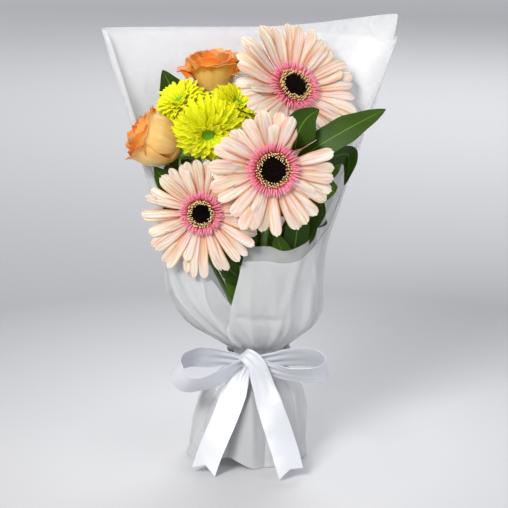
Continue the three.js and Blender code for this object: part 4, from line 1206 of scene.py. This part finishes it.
def add_strip(bm, points, turns, steps, notch=0, slant=0, gather=0):
    """Adds a strip of ribbon along a route. It is drawn together into small folds where it is narrow, and
    its end may be notched in the middle or cut at a slant."""
    route = smooth_route([Vector(point) for point in points], 12)
    lengths = [0]
    for here, there in zip(route, route[1:]):
        lengths.append(lengths[-1] + (there - here).length)

    def at(far):
        i = 0
        while i < len(lengths) - 2 and lengths[i + 1] < far:
            i += 1
        share = (far - lengths[i]) / (lengths[i + 1] - lengths[i])
        return route[i].lerp(route[i + 1], share), (route[i + 1] - route[i]).normalized()

    def place(u, v):
        off = 0.5 - u
        cut = notch * (1 - 2 * abs(off)) + slant * (0.5 + off)
        far = (lengths[-1] - cut) * v
        spot, ahead = at(far)
        side, width = read_turn(turns, far / lengths[-1])
        side = (side - ahead * side.dot(ahead)).normalized()
        outward = ahead.cross(side)
        drawn = 1 - width / RIBBON_WIDTH
        fold = gather * drawn * math.cos(off * math.tau * 2.5)
        return spot + side * off * width + outward * (fold + 0.7 * (1 - drawn) * (1 - 4 * off * off))

    add_sheet(bm, 16, steps, place)


satin, tree = start_material("satin")
weave = add_node(tree, "ShaderNodeTexWave", "Fac", {
    "Vector": add_spot(tree, "UV"), "Scale": 160.0,
}, wave_type="BANDS", bands_direction="Y")
swell = add_noise(tree, add_spot(tree), 38, 0.5)
feed_shader(tree, {
    "Base Color": add_mottle(tree, (0.70, 0.715, 0.755), 30, 0.05),
    "Normal": add_bump(tree, add_math(tree, "MULTIPLY_ADD", weave, 0.004, swell), 0.35, 0.006),
    "Roughness": 0.42,
    "Metallic": 0.12,
    "Specular IOR Level": 0.45,
    "Sheen Weight": 0.35,
    "Sheen Roughness": 0.3,
})


def place_band(u, v):
    angle = -175 + 360 * v
    rising = ease(angle, -175, -115)
    wound = WRAP_OVERLAP * rising * (1 - ease(angle, 38, 80))
    radius = BAND_RADIUS + wound + 0.5 * math.cos(u * math.tau * 2)
    turn = math.radians(angle)
    height = TIE_HEIGHT + (u - 0.5) * BAND_WIDTH
    return Vector((BAND_X - radius * math.sin(turn), -radius * math.cos(turn), height))


bm = bmesh.new()
band = add_sheet(bm, 10, 120, place_band)
bmesh.ops.remove_doubles(bm, verts=band, dist=0.05)
add_strip(
    bm, [KNOT, (-22, -37, 102), (-40, -40, 104.5), (-54, -44, 106), (-69, -52, 101), (-68, -59, 91),
         (-59, -63, 85.5), (-45, -61, 86), (-28, -53, 90.5), (-16, -45, 96), KNOT],
    [((0, -0.3, 0.95), 9), ((0, -0.35, 0.93), 18), ((0, -0.4, 0.92), 24), ((0.2, -0.5, 0.84), 25),
     ((0.55, -0.66, 0.5), 25), ((0.35, -0.6, 0.7), 25), ((0.1, -0.6, 0.8), 24), ((0, -0.5, 0.87), 18),
     ((0, -0.3, 0.95), 9)],
    108, gather=2.2,
)
add_strip(
    bm, [KNOT, (16, -37, 101.5), (34, -39, 104.5), (52, -43, 106), (66, -49, 103.5), (70, -55, 99),
         (63, -60, 95), (50, -60, 93.5), (34, -56, 93.5), (17, -47, 96), KNOT],
    [((0, -0.3, 0.95), 9), ((0, -0.4, 0.92), 16), ((0, -0.45, 0.9), 22), ((-0.05, -0.5, 0.87), 25),
     ((-0.15, -0.6, 0.8), 25), ((-0.1, -0.66, 0.75), 25), ((0, -0.7, 0.71), 23), ((0, -0.5, 0.87), 17),
     ((0, -0.3, 0.95), 9)],
    108, gather=2.2,
)
add_strip(
    bm, [KNOT, (-12, -46, 84), (-25, -58, 52), (-39, -67, 20), (-45, -71, 3)],
    [((1, -0.1, 0.1), 12), ((0.94, -0.2, 0.25), 25), ((0.9, -0.3, 0.1), 25), ((0.86, -0.47, -0.19), 25)],
    60, notch=7, gather=1.8,
)
add_strip(
    bm, [(-11, -34, 102), (-6, -44, 108), (4, -49, 101), (9, -51, 86), (18, -60, 60), (30, -72, 26),
         (37, -85, 3.5)],
    [((0.5, -0.2, 0.8), 9), ((0.8, 0, 0.5), 16), ((0.98, 0, 0.1), 20), ((0.97, -0.1, 0.2), 24),
     ((0.95, 0.1, 0.3), 25), ((0.93, 0.2, 0.28), 25), ((0.9, 0.38, 0.22), 25)],
    84, notch=4, slant=6, gather=1.8,
)
for vert in bm.verts:
    vert.co.z = max(vert.co.z, 0.4)     # the tails' ends rest on the ground
bow = make_piece("satin_ribbon", bm, satin, RIBBON)

bm = bmesh.new()
knot = bmesh.ops.create_uvsphere(bm, u_segments=40, v_segments=24, radius=1)["verts"]
for vert in knot:
    around = math.atan2(vert.co.z, vert.co.x)
    swollen = 1 + 0.05 * math.sin(around * 5 + vert.co.x * 3)
    vert.co = Vector(half * part * swollen for half, part in zip(KNOT_HALF_SIZE, vert.co))
bmesh.ops.translate(bm, vec=KNOT, verts=bm.verts)
knot_piece = make_piece("ribbon_knot", bm, satin)
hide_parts("ribbon_bow")
